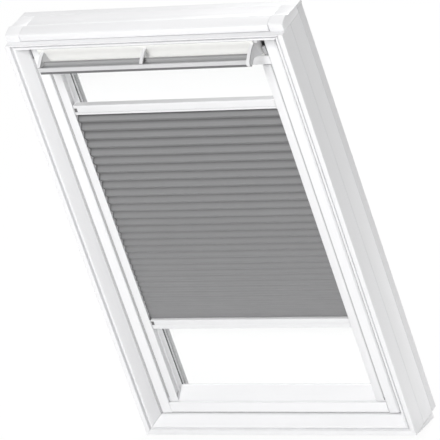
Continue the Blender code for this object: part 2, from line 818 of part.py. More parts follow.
def bar_section():
    """Grip of the control bar: channel along its top, upright nose, underside cut back."""
    nose = -BAR_NOSE_REACH
    back = -BAR_BACK_REACH
    floor = BAR_TOP_INSET + BAR_CHANNEL_DEPTH
    rim = floor - 0.0008
    return [
        (BAR_TOP_INSET, back),
        (BAR_TOP_INSET, back - BAR_LIP),
        (floor, back - BAR_LIP),
        (floor, -BAR_CHANNEL_REACH),
        (rim, -BAR_CHANNEL_REACH - 0.0008),
        (rim + 0.0002, nose + 0.0012),
        (rim + 0.0014, nose),
        (rim + BAR_NOSE_FACE, nose),
        (BAR_LOW_INSET - 0.0006, nose + 0.0024),
        (BAR_LOW_INSET, nose + 0.0032),
        (BAR_LOW_INSET, nose + 0.006),
        (floor + BAR_LIP, back),
    ]


def arm_seat():
    """Edge of an arm that lies on the flap."""
    seat = offset_path(flap_front(), -FIT)
    return [point for point in seat if ARM_TOP_INSET < point[0] < ARM_SEAT_END]


def arm_bow():
    """Bowed upper edge of an arm, from above the bar back up to the flap."""
    return arc(
        (BAR_TOP_INSET + 0.005, -BAR_NOSE_REACH), (ARM_TOP_INSET, 0.005), ARM_BOW, 8
    )


def end_arm_section():
    """Slender arm that also closes the end of the bar, with a rim around its section."""
    nose = -BAR_NOSE_REACH - ARM_RIM
    low = BAR_LOW_INSET + ARM_RIM
    seat = arm_seat()
    heel = arc((low, nose + ARM_HEEL_REACH), seat[-1], ARM_BOW, 8)
    return seat[:-1] + heel[::-1] + [
        (low, nose + 0.005),
        (low - 0.001, nose + 0.003),
        (low - 0.007, nose),
        (low - 0.014, nose + 0.0003),
    ] + arm_bow()


def middle_arm_section():
    """Arm that hooks over the back lip of the bar and ends in its channel."""
    lip_front = -BAR_BACK_REACH - BAR_LIP - FIT
    tip = -BAR_CHANNEL_REACH + 0.003
    floor = BAR_TOP_INSET + BAR_CHANNEL_DEPTH - FIT
    return arm_seat() + [
        (floor + BAR_LIP, FIT - BAR_BACK_REACH),
        (BAR_TOP_INSET - FIT, FIT - BAR_BACK_REACH),
        (BAR_TOP_INSET - FIT, lip_front),
        (floor, lip_front),
        (floor, tip),
    ] + [point for point in arm_bow() if point[1] > tip]


def build_flap(flap_white, rubber, aluminium, arm_grey, flap_axis):
    flap = prism(flap_section(), on_head, -FLAP_HALF_WIDTH, FLAP_HALF_WIDTH)
    piece = make_object("vent_flap", flap, flap_white, flap_axis)
    for sign in (-1, 1):
        ends = (sign * (FLAP_HALF_WIDTH - FLAP_CHEEK), sign * FLAP_HALF_WIDTH)
        combine(piece, prism(cheek_section(), on_head, *ends), "UNION")

    seal = box_section(
        HEAD_LIP_END + FIT, FLAP_TOP_INSET - FIT, SEAL_DEPTH, SEAL_DEPTH + SEAL_WIDTH
    )
    seal = prism(seal, on_head, -FLAP_HALF_WIDTH, FLAP_HALF_WIDTH)
    make_object("flap_seal", seal, rubber, flap_axis)

    arm_start = FLAP_HALF_WIDTH - ARM_THICKNESS
    for name, section, span in (
        ("bar_arm_left", end_arm_section(), (-FLAP_HALF_WIDTH, -arm_start)),
        ("bar_arm_middle", middle_arm_section(), (-ARM_THICKNESS / 2, ARM_THICKNESS / 2)),
        ("bar_arm_right", end_arm_section(), (arm_start, FLAP_HALF_WIDTH)),
    ):
        make_object(name, prism(section, on_head, *span), arm_grey, flap_axis)
    bar_half = arm_start - FIT
    bar = prism(bar_section(), on_head, -bar_half, bar_half)
    make_object("control_bar", bar, aluminium, flap_axis)


# Sash lock

BOLT_FRONT = CASE_FRONT + 0.004
BOLT_TOP_INSET = SASH_INSET + 0.0005


def bolt_block(low_inset, high_inset, clearance):
    return block(
        (-BOLT_HALF_WIDTH - clearance, BOLT_HALF_WIDTH + clearance),
        (BOLT_FRONT - clearance, BOLT_FRONT + BOLT_DEPTH + clearance),
        (FRAME_HEIGHT - high_inset, FRAME_HEIGHT - low_inset),
    )


def striker_pocket():
    """Recess in the head for the striker plate."""
    section = box_section(
        FRAME_THICKNESS - STRIKER_THICKNESS - FIT, FRAME_THICKNESS + 0.01,
        BOLT_FRONT - STRIKER_RIM, BOLT_FRONT + BOLT_DEPTH + STRIKER_RIM,
    )
    reach = STRIKER_HALF_WIDTH + FIT
    return prism(section, on_head, -reach, reach)


def bolt_well():
    """Well in the head, behind the striker plate, that the thrown bolt enters."""
    top = BOLT_TOP_INSET - BOLT_THROW - 0.002
    return bolt_block(top, FRAME_THICKNESS, 2 * RUNNING)


def build_striker(plate):
    section = box_section(
        FRAME_THICKNESS - STRIKER_THICKNESS, FRAME_THICKNESS,
        BOLT_FRONT - STRIKER_RIM + FIT, BOLT_FRONT + BOLT_DEPTH + STRIKER_RIM - FIT,
    )
    striker = make_object(
        "lock_striker", prism(section, on_head, -STRIKER_HALF_WIDTH, STRIKER_HALF_WIDTH), plate
    )
    combine(striker, bolt_block(0, SASH_INSET, 2 * RUNNING), "DIFFERENCE")


def build_lock(grey, steel, sash_axis, bolt_axis):
    shelf = KNUCKLE_INSET + (KNUCKLE_RADIUS + RUNNING) * math.cos(math.radians(135)) - FIT
    section = box_section(SASH_INSET + 0.001, shelf, CASE_FRONT, TOP_RAIL_WALL_DEPTH - FIT)
    case = make_object(
        "lock_case", prism(section, on_head, -CASE_HALF_WIDTH, CASE_HALF_WIDTH), grey, sash_axis
    )
    channel = bolt_block(0, BOLT_TOP_INSET + BOLT_LENGTH + FIT, FIT)
    combine(case, channel, "DIFFERENCE")
    bolt = bolt_block(BOLT_TOP_INSET, BOLT_TOP_INSET + BOLT_LENGTH, 0)
    make_object("latch_bolt", bolt, steel, bolt_axis)


# Blind

def rail_section():
    """Side rail: shallow channel for the cloth, cover flange and foot on the reveal."""
    inner_front = RAIL_FRONT + RAIL_SHEET
    inner_back = RAIL_BACK - RAIL_SHEET
    web = RAIL_EDGE_INSET - RAIL_CHANNEL
    return [
        (RAIL_EDGE_INSET, RAIL_BACK),
        (reveal_inset(RAIL_BACK) + RAIL_SIDE_CLEARANCE, RAIL_BACK),
        (reveal_inset(inner_back) + RAIL_SIDE_CLEARANCE, inner_back),
        (web - RAIL_SHEET, inner_back),
        (web - RAIL_SHEET, inner_front),
        (RAIL_FLANGE_INSET, inner_front),
        (RAIL_FLANGE_INSET, RAIL_FRONT),
        (RAIL_EDGE_INSET, RAIL_FRONT),
        (RAIL_EDGE_INSET, inner_front),
        (web, inner_front),
        (web, inner_back),
        (RAIL_EDGE_INSET, inner_back),
    ]


def rail_cap_section():
    """Outline of the caps that close the ends of a rail."""
    return [
        (RAIL_EDGE_INSET, RAIL_BACK),
        (reveal_inset(RAIL_BACK) + RAIL_SIDE_CLEARANCE, RAIL_BACK),
        (RAIL_FLANGE_INSET, reveal_depth(RAIL_FLANGE_INSET - RAIL_SIDE_CLEARANCE)),
        (RAIL_FLANGE_INSET, RAIL_FRONT),
        (RAIL_EDGE_INSET, RAIL_FRONT),
    ]


def rail_foot_plane(where, lift):
    """Plane laid on the bottom rail's sloping reveal, raised by lift."""
    point = where(0, REVEAL_START_DEPTH, SASH_FACE_END + lift)
    other = where(0, REVEAL_END_DEPTH, SASH_FACE_END + REVEAL_RUN + lift)
    rise = other - point
    return point, Vector((0, rise.z, -rise.y))


def build_rails(rail_white, cap_white, cord_white, sash_axis):
    rail_top = FRAME_HEIGHT - TOP_RAIL_REACH - TOP_RAIL_REVEAL_RUN - RAIL_CAP - 2 * FIT
    cord_foot = reveal_inset(RAIL_FRONT + 2 * RAIL_SHEET) + RAIL_CAP + 4 * FIT
    for side, where in SIDES.items():
        rail = prism(rail_section(), where, 0, rail_top)
        point, down = rail_foot_plane(where, RAIL_CAP + 4 * FIT)
        trim(rail, point, down)
        make_object("blind_rail_" + side, rail, rail_white, sash_axis)

        foot = prism(rail_cap_section(), where, 0, FRAME_HEIGHT / 2)
        point, down = rail_foot_plane(where, 2 * FIT)
        trim(foot, point, down)
        point, down = rail_foot_plane(where, 2 * FIT + RAIL_CAP)
        trim(foot, point, -down)
        make_object("rail_foot_" + side, foot, cap_white, sash_axis)

        cap_low = rail_top + FIT
        cap = prism(rail_cap_section(), where, cap_low, cap_low + RAIL_CAP)
        make_object("rail_cap_" + side, cap, cap_white, sash_axis)

        centre = where(CORD_INSET, RAIL_FRONT + RAIL_SHEET + CORD_RADIUS + FIT, 0)
        cord = bmesh.new()
        length = rail_top - cord_foot
        middle = Vector((centre.x, centre.y, cord_foot + length / 2 - ORIGIN_HEIGHT))
        bmesh.ops.create_cone(
            cord, cap_ends=True, segments=10, radius1=CORD_RADIUS, radius2=CORD_RADIUS,
            depth=length, matrix=Matrix.Translation(middle),
        )
        make_object("rail_cord_" + side, cord, cord_white, sash_axis, round_piece=True)


def blind_bar_section(groove, slot_up):
    """Hollow bar as (rise, offset): slot for the cloth's edge, groove along the front."""
    front, back = BLIND_BAR_FRONT, BLIND_BAR_BACK
    height = BLIND_BAR_HEIGHT
    groove_floor = front - CLOTH_DEPTH + BLIND_BAR_GROOVE_DEPTH
    groove_end = groove + BLIND_BAR_GROOVE_WIDTH
    half_slot = CLOTH_THICKNESS / 2 + FIT
    half = [
        (0, half_slot), (BAR_WALL, half_slot), (BAR_WALL, back - CLOTH_DEPTH - BAR_WALL),
        (height - BAR_WALL, back - CLOTH_DEPTH - BAR_WALL),
    ]
    other = [
        (height - BAR_WALL, front - CLOTH_DEPTH + BAR_WALL),
        (BAR_WALL, front - CLOTH_DEPTH + BAR_WALL),
        (BAR_WALL, -half_slot), (0, -half_slot),
    ]
    outside = [
        (0, front - CLOTH_DEPTH + BAR_CHAMFER), (BAR_CHAMFER, front - CLOTH_DEPTH),
        (groove, front - CLOTH_DEPTH), (groove, groove_floor),
        (groove_end, groove_floor), (groove_end, front - CLOTH_DEPTH),
        (height - BAR_CHAMFER, front - CLOTH_DEPTH), (height, front - CLOTH_DEPTH + BAR_CHAMFER),
        (height, back - CLOTH_DEPTH - BAR_CHAMFER), (height - BAR_CHAMFER, back - CLOTH_DEPTH),
        (BAR_CHAMFER, back - CLOTH_DEPTH), (0, back - CLOTH_DEPTH - BAR_CHAMFER),
    ]
    points = half + other + outside
    if slot_up:
        points = [(height - h, d) for h, d in points]
    return points


def build_blind_bar(name, low, groove, slot_up, aluminium, cap_white, axis):
    def across(rise, offset, along):
        return place(along, CLOTH_DEPTH + offset, low + rise)

    section = blind_bar_section(groove, slot_up)
    bar = prism(section, across, -BLIND_BAR_END, BLIND_BAR_END)
    make_object("blind_" + name + "_bar", bar, aluminium, axis)

    plate_end = HALF_WIDTH - RAIL_EDGE_INSET - BAR_CLEARANCE
    tongue_end = HALF_WIDTH - RAIL_EDGE_INSET + RAIL_CHANNEL - GLIDER_END_CLEARANCE
    plate = (BLIND_BAR_FRONT, BLIND_BAR_BACK, low, low + BLIND_BAR_HEIGHT)
    tongue_front = BLIND_BAR_BACK - GLIDER_TONGUE_DEPTH - 2 * RUNNING
    tongue = (
        tongue_front, tongue_front + GLIDER_TONGUE_DEPTH,
        low + BLIND_BAR_HEIGHT * 0.15, low + BLIND_BAR_HEIGHT * 0.85,
    )
    for side, sign in (("left", -1), ("right", 1)):
        mesh = loft([
            (sign * (plate_end - GLIDER_PLATE), *plate),
            (sign * plate_end, *plate),
            (sign * plate_end, *tongue),
            (sign * tongue_end, *tongue),
        ])
        make_object("glider_" + name + "_" + side, mesh, cap_white, axis)


def pleat_path():
    """Zigzag of the cloth (height, depth), its pleats opening towards the top.

    The ridges sit closer together towards the bottom, and every face keeps the length
    of cloth between two creases, so that the zigzag is shallow where it is stretched.
    """
    top = TOP_BAR_LOW - FIT
    low = BOTTOM_BAR_LOW + BLIND_BAR_HEIGHT + FIT
    span = top - low
    steps = 2 * PLEAT_COUNT

    def fallen(share):
        loose = PLEAT_LOOSENESS * share ** (PLEAT_EASE + 1) / (PLEAT_EASE + 1)
        return (share - loose) / (1 - PLEAT_LOOSENESS / (PLEAT_EASE + 1))

    heights = [top - span * fallen((i + 0.5) / (steps + 1)) for i in range(steps + 1)]
    path = [(top + CLOTH_TAB, CLOTH_DEPTH), (top - 0.001, CLOTH_DEPTH)]
    for i, height in enumerate(heights):
        drop = heights[i - 1] - height if i else height - heights[i + 1]
        depth = math.sqrt(PLEAT_FACE ** 2 - drop ** 2) / 2
        path.append((height, CLOTH_DEPTH + (depth if i % 2 == 0 else -depth)))
    path += [(low + 0.001, CLOTH_DEPTH), (low - CLOTH_TAB, CLOTH_DEPTH)]
    return path


def build_cloth(fabric, sash_axis):
    path = pleat_path()
    faces = (offset_path(path, -CLOTH_THICKNESS / 2), offset_path(path, CLOTH_THICKNESS / 2))
    mesh = bmesh.new()
    edge = HALF_WIDTH - CLOTH_EDGE_INSET
    tab_edge = BLIND_BAR_END - RUNNING
    reach = [tab_edge] * 2 + [edge] * (len(path) - 4) + [tab_edge] * 2
    grid = [
        [[mesh.verts.new(place(sign * x, *point[::-1])) for x, point in zip(reach, face)]
         for face in faces]
        for sign in (-1, 1)
    ]
    for i in range(len(path) - 1):
        j = i + 1
        for face in (0, 1):
            mesh.faces.new((grid[0][face][i], grid[0][face][j], grid[1][face][j], grid[1][face][i]))
        for end in (0, 1):
            mesh.faces.new((grid[end][0][i], grid[end][0][j], grid[end][1][j], grid[end][1][i]))
    for i in (0, len(path) - 1):
        mesh.faces.new((grid[0][0][i], grid[0][1][i], grid[1][1][i], grid[1][0][i]))
    bmesh.ops.recalc_face_normals(mesh, faces=mesh.faces)
    make_object("pleated_fabric", mesh, fabric, sash_axis)


def build_blind(rail_white, cap_white, cord_white, aluminium, fabric, axes):
    build_rails(rail_white, cap_white, cord_white, axes["sash"])
    build_blind_bar(
        "top", TOP_BAR_LOW, TOP_BAR_GROOVE, False, aluminium, cap_white, axes["top_bar"]
    )
    build_blind_bar(
        "bottom", BOTTOM_BAR_LOW, BOTTOM_BAR_GROOVE, True, aluminium, cap_white,
        axes["bottom_bar"],
    )
    build_cloth(fabric, axes["sash"])


def main():
    for piece in list(bpy.data.objects):
        bpy.data.objects.remove(piece)

    white = make_material("white_lacquer", (0.87, 0.87, 0.88), 0.35)
    rail_white = make_material("rail_lacquer", (0.84, 0.84, 0.85), 0.40)
    flap_white = make_material("flap_lacquer", (0.84, 0.84, 0.81), 0.40)
    cover = make_material("cover_white", (0.80, 0.80, 0.81), 0.40)
    dark_cover = make_material("cover_grey", (0.30, 0.30, 0.31), 0.45, 0.6)
    aluminium = make_material("brushed_aluminium", (0.62, 0.62, 0.63), 0.32, 1.0)
    bar_white = make_material("bar_lacquer", (0.82, 0.82, 0.83), 0.35)
    arm_grey = make_material("arm_grey", (0.35, 0.35, 0.36), 0.45)
    cap_white = make_material("cap_white", (0.78, 0.78, 0.79), 0.50)
    steel = make_material("zinc_steel", (0.60, 0.60, 0.61), 0.40, 1.0)
    rubber = make_material("gasket_rubber", (0.06, 0.06, 0.06), 0.75)
    spacer = make_material("spacer_grey", (0.25, 0.25, 0.26), 0.50)
    glass = make_material("clear_glass", (0.92, 0.96, 0.95), 0.03, alpha=0.25)
    fabric = make_material("grey_pleats", (0.27, 0.27, 0.28), 0.85)
    cord_white = make_material("cord_white", (0.80, 0.80, 0.80), 0.70)

    axes = {
        "sash": make_axis("sash_axis", place(0, PIVOT_DEPTH, PIVOT_HEIGHT)),
        "flap": make_axis("flap_axis", place(0, KNUCKLE_DEPTH, FRAME_HEIGHT - KNUCKLE_INSET)),
        "bolt": make_axis("bolt_axis", place(0, BOLT_FRONT, FRAME_HEIGHT - BOLT_TOP_INSET)),
        "top_bar": make_axis("top_bar_axis", place(0, CLOTH_DEPTH, TOP_BAR_LOW)),
        "bottom_bar": make_axis("bottom_bar_axis", place(0, CLOTH_DEPTH, BOTTOM_BAR_LOW)),
    }

    build_frame(white, steel, cover)
    build_pivots(steel, axes["sash"])
    build_sash(white, axes["sash"])
    build_glazing(glass, spacer, axes["sash"])
    build_sash_trim(dark_cover, rubber, axes["sash"])
    build_flap(flap_white, rubber, aluminium, arm_grey, axes["flap"])
    build_lock(cap_white, steel, axes["sash"], axes["bolt"])
    build_blind(rail_white, cap_white, cord_white, bar_white, fabric, axes)


main()
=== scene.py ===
"""Studio scene of the roof window and its pleated blind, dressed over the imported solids."""

import json
import math

import bmesh
import bpy
import numpy as np
from mathutils import Matrix, Vector


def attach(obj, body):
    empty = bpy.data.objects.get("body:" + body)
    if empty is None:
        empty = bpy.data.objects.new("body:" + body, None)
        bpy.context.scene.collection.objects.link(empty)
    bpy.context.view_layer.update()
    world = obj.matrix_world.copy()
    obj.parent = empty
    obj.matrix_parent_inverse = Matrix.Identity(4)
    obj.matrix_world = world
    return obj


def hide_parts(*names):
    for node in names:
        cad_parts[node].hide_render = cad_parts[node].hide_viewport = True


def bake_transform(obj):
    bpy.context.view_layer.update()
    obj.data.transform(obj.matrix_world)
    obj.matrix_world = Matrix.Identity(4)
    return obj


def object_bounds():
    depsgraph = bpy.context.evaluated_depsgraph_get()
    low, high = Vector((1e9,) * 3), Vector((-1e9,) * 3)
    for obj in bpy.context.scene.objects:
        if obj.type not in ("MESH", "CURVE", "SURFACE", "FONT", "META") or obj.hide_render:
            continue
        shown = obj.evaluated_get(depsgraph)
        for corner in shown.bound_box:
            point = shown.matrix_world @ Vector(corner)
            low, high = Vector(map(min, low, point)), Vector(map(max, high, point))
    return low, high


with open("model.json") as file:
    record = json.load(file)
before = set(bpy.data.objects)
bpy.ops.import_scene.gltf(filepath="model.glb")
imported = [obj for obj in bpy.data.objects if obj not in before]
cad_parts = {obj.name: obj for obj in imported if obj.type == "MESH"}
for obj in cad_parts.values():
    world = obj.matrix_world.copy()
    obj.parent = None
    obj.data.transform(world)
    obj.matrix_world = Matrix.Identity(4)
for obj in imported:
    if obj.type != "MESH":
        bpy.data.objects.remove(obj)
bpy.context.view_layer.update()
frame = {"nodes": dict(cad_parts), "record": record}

# Sections are drawn as (inset from the head, depth from the room face), in metres
FRAME_HEIGHT = 1.180
ORIGIN_DEPTH = 0.0469
ORIGIN_HEIGHT = 0.590
SEALANT_END = 0.0861 - ORIGIN_DEPTH


# Finishes; the scale of a grain counts its spots per metre

THREAD_PITCH = 0.00055


class Wire:
    """A shader value that turns arithmetic on it into Math nodes."""

    def __init__(self, finish, socket):
        self.finish = finish
        self.socket = socket

    def combine(self, operation, first, second):
        settings = {"operation": operation}
        return self.finish.node("ShaderNodeMath", settings, {0: first, 1: second})

    def __add__(self, other):
        return self.combine("ADD", self, other)

    def __radd__(self, other):
        return self.combine("ADD", other, self)

    def __mul__(self, other):
        return self.combine("MULTIPLY", self, other)

    def __rmul__(self, other):
        return self.combine("MULTIPLY", other, self)

    def __gt__(self, other):
        return self.combine("GREATER_THAN", self, other)

    def wave(self):
        return self.finish.node("ShaderNodeMath", {"operation": "SINE"}, {0: self})


class Finish:
    """A material whose colour, gloss and relief are written as expressions."""

    def __init__(self, name, roughness=0.5, metallic=0.0, **uniform):
        self.material = bpy.data.materials.new(name)
        self.material.use_nodes = True
        self.tree = self.material.node_tree
        self.shader = self.tree.nodes["Principled BSDF"]
        self.roughness = roughness
        self.shader.inputs["Roughness"].default_value = roughness
        self.shader.inputs["Metallic"].default_value = metallic
        for socket, value in uniform.items():
            self.shader.inputs[socket.replace("_", " ")].default_value = value

    def node(self, kind, settings=None, sockets=None, output=0):
        """Node of a kind; its settings come first, then values or links for its sockets."""
        node = self.tree.nodes.new(kind)
        for name, value in (settings or {}).items():
            setattr(node, name, value)
        for name, value in (sockets or {}).items():
            self.feed(node.inputs[name], value)
        return Wire(self, node.outputs[output])

    def feed(self, socket, value):
        if isinstance(value, Wire):
            self.tree.links.new(value.socket, socket)
        else:
            socket.default_value = value

    def place(self, stretch=(1, 1, 1), source="Object"):
        """Coordinates of the piece, scaled on each axis."""
        position = self.node("ShaderNodeTexCoord", output=source)
        return self.stretched(position, stretch)

    def stretched(self, vector, stretch):
        return self.node("ShaderNodeMapping", None, {"Vector": vector, "Scale": stretch})

    def noise(self, vector, detail, roughness):
        sockets = {"Vector": vector, "Scale": 1.0, "Detail": detail, "Roughness": roughness}
        return self.node("ShaderNodeTexNoise", None, sockets)

    def grain(self, scale, detail=3.0, roughness=0.55, along=None, long_scale=None):
        """Noise from 0 to 1 at a scale per metre, which may be drawn out along one axis."""
        stretch = [scale] * 3
        if along is not None:
            stretch[along] = long_scale
        return self.noise(self.place(stretch), detail, roughness)

    def axis(self, vector, name):
        return self.node("ShaderNodeSeparateXYZ", None, {"Vector": vector}, name)

    def blend(self, share, first, second):
        """Colour between two others by a share from 0 to 1."""
        blended = self.node("ShaderNodeMix", {"data_type": "RGBA"}, {0: share}, 2)
        mix = blended.socket.node
        for socket, color in ((mix.inputs[6], first), (mix.inputs[7], second)):
            self.feed(socket, color if isinstance(color, Wire) else (*color, 1.0))
        return blended

    def limit(self, value, low, high):
        """Value kept between two numbers."""
        return self.node("ShaderNodeClamp", None, {"Value": value, "Min": low, "Max": high})

    def paint(self, color):
        base = self.shader.inputs["Base Color"]
        self.feed(base, color if isinstance(color, Wire) else (*color, 1.0))

    def tint(self, pattern, color, darkest):
        """Colour that a pattern darkens down to a share of itself."""
        self.paint(self.blend(pattern, tuple(channel * darkest for channel in color), color))

    def gloss(self, value):
        self.feed(self.shader.inputs["Roughness"], value)

    def vary_gloss(self, pattern, spread):
        """Roughness that a pattern moves evenly about the finish's own."""
        self.gloss(self.limit(pattern * spread + (self.roughness - spread / 2), 0.05, 1.0))

    def relief(self, height, depth, strength):
        """Bump whose full height is depth in metres."""
        sockets = {"Height": height, "Distance": depth, "Strength": strength}
        bump = self.node("ShaderNodeBump", None, sockets)
        self.feed(self.shader.inputs["Normal"], bump)


def lacquer(name, along, color, roughness=0.34):
    """Sprayed lacquer on timber: brush-fine grain along one axis and a soft orange peel."""
    finish = Finish(name, roughness)
    grain = finish.grain(420.0, detail=4.0, along=along, long_scale=14.0)
    peel = finish.grain(260.0, detail=2.0)
    cloud = finish.grain(7.0, detail=2.0)
    finish.tint(finish.limit(grain * 0.5 + cloud * 0.5, 0.0, 1.0), color, darkest=0.955)
    finish.vary_gloss(cloud, spread=0.16)
    finish.relief(grain * 0.6 + peel * 0.4, depth=0.00012, strength=0.5)
    return finish.material


def powder_coat(name, color, roughness=0.42, metallic=0.0):
    """Baked coating on metal: fine even texture with a faint cloudiness."""
    finish = Finish(name, roughness, metallic)
    speck = finish.grain(1500.0, detail=2.0)
    cloud = finish.grain(9.0)
    finish.tint(cloud, color, darkest=0.95)
    finish.vary_gloss(cloud, spread=0.14)
    finish.relief(speck, depth=0.00005, strength=0.6)
    return finish.material


def brushed(name, along, color, roughness=0.34, metallic=1.0):
    """Metal drawn along one axis: long scratches in colour, gloss and relief."""
    finish = Finish(name, roughness, metallic)
    lines = finish.grain(1800.0, detail=4.0, roughness=0.65, along=along, long_scale=9.0)
    finish.tint(lines, color, darkest=0.86)
    finish.vary_gloss(lines, spread=0.22)
    finish.relief(lines, depth=0.00003, strength=0.7)
    return finish.material


def moulded(name, color, roughness=0.5):
    """Injection moulded plastic with a spark-eroded grain."""
    finish = Finish(name, roughness)
    speck = finish.grain(2200.0, detail=2.0)
    finish.tint(finish.grain(22.0, detail=2.0), color, darkest=0.93)
    finish.vary_gloss(speck, spread=0.12)
    finish.relief(speck, depth=0.00004, strength=0.6)
    return finish.material


def spacer_metal(name, sealant, metal):
    """Spacer between the panes: black sealant at the inner pane, then bare grey metal."""
    finish = Finish(name, 0.55)
    is_metal = finish.axis(finish.place(), "Y") > SEALANT_END
    finish.paint(finish.blend(is_metal, sealant, metal))
    finish.vary_gloss(finish.grain(500.0), spread=0.2)
    return finish.material


def end_cover_with_painted_shade(name, split_height, below, above):
    """End faces in two colours that meet at a height: grey painted shade below it, white above.
    """
    finish = Finish(name, 0.6)
    is_upper = finish.axis(finish.place(), "Z") > split_height
    finish.paint(finish.blend(is_upper, below, above))
    finish.relief(finish.grain(2200.0, detail=2.0), depth=0.00004, strength=0.6)
    return finish.material


def gasket_rubber(name, dark, light):
    """Extruded rubber: matt, with faint draw lines along the strip."""
    finish = Finish(name, 0.7)
    lines = finish.grain(600.0)
    finish.paint(finish.blend(lines, dark, light))
    finish.vary_gloss(lines, spread=0.2)
    finish.relief(lines, depth=0.00006, strength=0.5)
    return finish.material


def pane_glass(name, color):
    """Float glass: clear, with faint smears that only show in its gloss."""
    finish = Finish(name, 0.02, IOR=1.5, Alpha=0.04)
    smear = finish.noise(finish.place((5.0, 5.0, 2.5)), 4.0, 0.55)
    finish.paint(color)
    finish.gloss(finish.limit(smear * 0.03, 0.0, 0.04))
    return finish.material


def pleat_cloth(name, dark, light, fold_shade_color):
    """Crush-proof blind cloth: plain weave on the cloth's own run, with slubs and painted shade
    in the folds.

    The thread pattern is a sine across the width plus a sine along the run, so that warp
    and weft alternate. A slow noise stretched along the weft makes the slubs, and the
    strip's own FoldShade attribute takes the colour towards a dark painted shade in the folds.
    """
    finish = Finish(name, 0.88, Sheen_Weight=0.25, Sheen_Roughness=0.6)
    run = finish.place(source="UV")
    thread = math.tau / THREAD_PITCH
    warp = (finish.axis(run, "X") * thread).wave()
    weft = (finish.axis(run, "Y") * thread).wave()
    weave = warp * 0.25 + weft * 0.25 + 0.5
    slub = finish.noise(finish.stretched(run, (60.0, 900.0, 1.0)), 3.0, 0.6)
    share = finish.limit(weave * 0.35 + slub * 0.4 + finish.grain(11.0) * 0.25, 0.0, 1.0)
    fold = finish.node("ShaderNodeAttribute", {"attribute_name": "FoldShade"}, output="Fac")
    finish.paint(finish.blend(fold, finish.blend(share, dark, light), fold_shade_color))
    finish.relief(weave * 0.7 + slub * 0.3, depth=0.00018, strength=0.6)
    return finish.material


ALONG_X, ALONG_Z = 0, 2
WHITE_LACQUER = (0.87, 0.87, 0.88)

LACQUER_UP = lacquer("white_lacquer_upright", ALONG_Z, WHITE_LACQUER)
LACQUER_ACROSS = lacquer("white_lacquer_cross", ALONG_X, WHITE_LACQUER)
FLAP_LACQUER = lacquer("flap_lacquer", ALONG_X, (0.91, 0.91, 0.89), 0.4)
RAIL_COAT = powder_coat("rail_coat", (0.82, 0.82, 0.83))
COVER_WHITE = powder_coat("cover_white", (0.80, 0.80, 0.81))
COVER_GREY = powder_coat("cover_grey", (0.36, 0.36, 0.37), 0.45, 0.1)
BAR_COAT = powder_coat("bar_coat", (0.80, 0.80, 0.81), 0.36)
# Upward faces of the blind's top bar: grey painted shade
BAR_TOP_SHADE = powder_coat("bar_top_painted_shade", (0.50, 0.50, 0.505), 0.4)
GRIP_METAL = brushed("grip_metal", ALONG_X, (0.78, 0.78, 0.79), 0.36, 0.6)
# Darker copies of the grip's finish: painted shade on the lip's front, the trough's floor and
# under the nose, and a painted shadow on the back lip's bead
GRIP_LIP_SHADE = brushed("grip_lip_painted_shade", ALONG_X, (0.50, 0.50, 0.505), 0.5, 0.2)
GRIP_FLOOR_SHADE = brushed("grip_floor_painted_shade", ALONG_X, (0.45, 0.45, 0.46), 0.42, 0.8)
GRIP_UNDER_SHADE = brushed("grip_under_painted_shade", ALONG_X, (0.22, 0.22, 0.225), 0.45, 0.6)
GRIP_BEAD_SHADOW = moulded("grip_bead_painted_shadow", (0.30, 0.30, 0.30), 0.6)
# Painted shadow at the left ends of the blind's bars
END_SHADOW_DARK = brushed("bar_end_painted_shadow", ALONG_X, (0.16, 0.16, 0.16), 0.5, 0.3)
ZINC = brushed("zinc_steel", ALONG_Z, (0.62, 0.62, 0.63), 0.4)
SPACER = spacer_metal("spacer_metal", (0.012, 0.012, 0.013), (0.50, 0.50, 0.51))
ARM_GREY = moulded("arm_grey", (0.70, 0.70, 0.705))
ARM_EDGE = moulded("arm_edge", (0.78, 0.78, 0.79), 0.4)
# Flap end faces: grey painted shade below, white above
CHEEK_SHADE = end_cover_with_painted_shade("cheek_painted_shade", 0.556, (0.74, 0.74, 0.74), (0.88, 0.88, 0.88))
# Strips beside the blind rails: painted shade, darker on the left than on the right
RAIL_SHADE_LEFT = moulded("rail_painted_shade_left", (0.30, 0.30, 0.302), 0.6)
RAIL_SHADE_RIGHT = moulded("rail_painted_shade_right", (0.56, 0.56, 0.565), 0.6)
# Right end seal: grey painted shade in the gap beside the flap
SEAL_SHADE_GREY = moulded("seal_painted_shade", (0.48, 0.48, 0.485), 0.7)
# Strips in the gap round the sash: grey painted shade
GAP_SHADE_GREY = moulded("gap_painted_shade", (0.52, 0.52, 0.525), 0.7)
CAP_WHITE = moulded("cap_white", (0.76, 0.76, 0.77), 0.5)
CORD_WHITE = moulded("cord_white", (0.78, 0.78, 0.78), 0.8)
RUBBER = gasket_rubber("gasket_rubber", (0.26, 0.26, 0.262), (0.36, 0.36, 0.362))
GLASS = pane_glass("pane_glass", (0.93, 0.955, 0.95))
# Weave colours, then the dark painted shade of the folds
CLOTH = pleat_cloth(
    "pleat_cloth", (0.192, 0.193, 0.196), (0.290, 0.290, 0.294), (0.045, 0.045, 0.047)
)


# Ways of making a piece; angles are in degrees

MERGE_DISTANCE = 1e-6
FLAT_ANGLE = 0.5
SHARP_ANGLE = 30.0
SOLID_ARRIS_ANGLE = 28
ARRIS_ANGLE = 40
ARRIS_STEPS = 2
SIDE_COSINE = 0.9


def at(x, depth, height):
    """Row-frame point, or arrays of them, from an offset, a depth and a height."""
    return np.stack(
        np.broadcast_arrays(x, depth - ORIGIN_DEPTH, height - ORIGIN_HEIGHT), axis=-1
    )


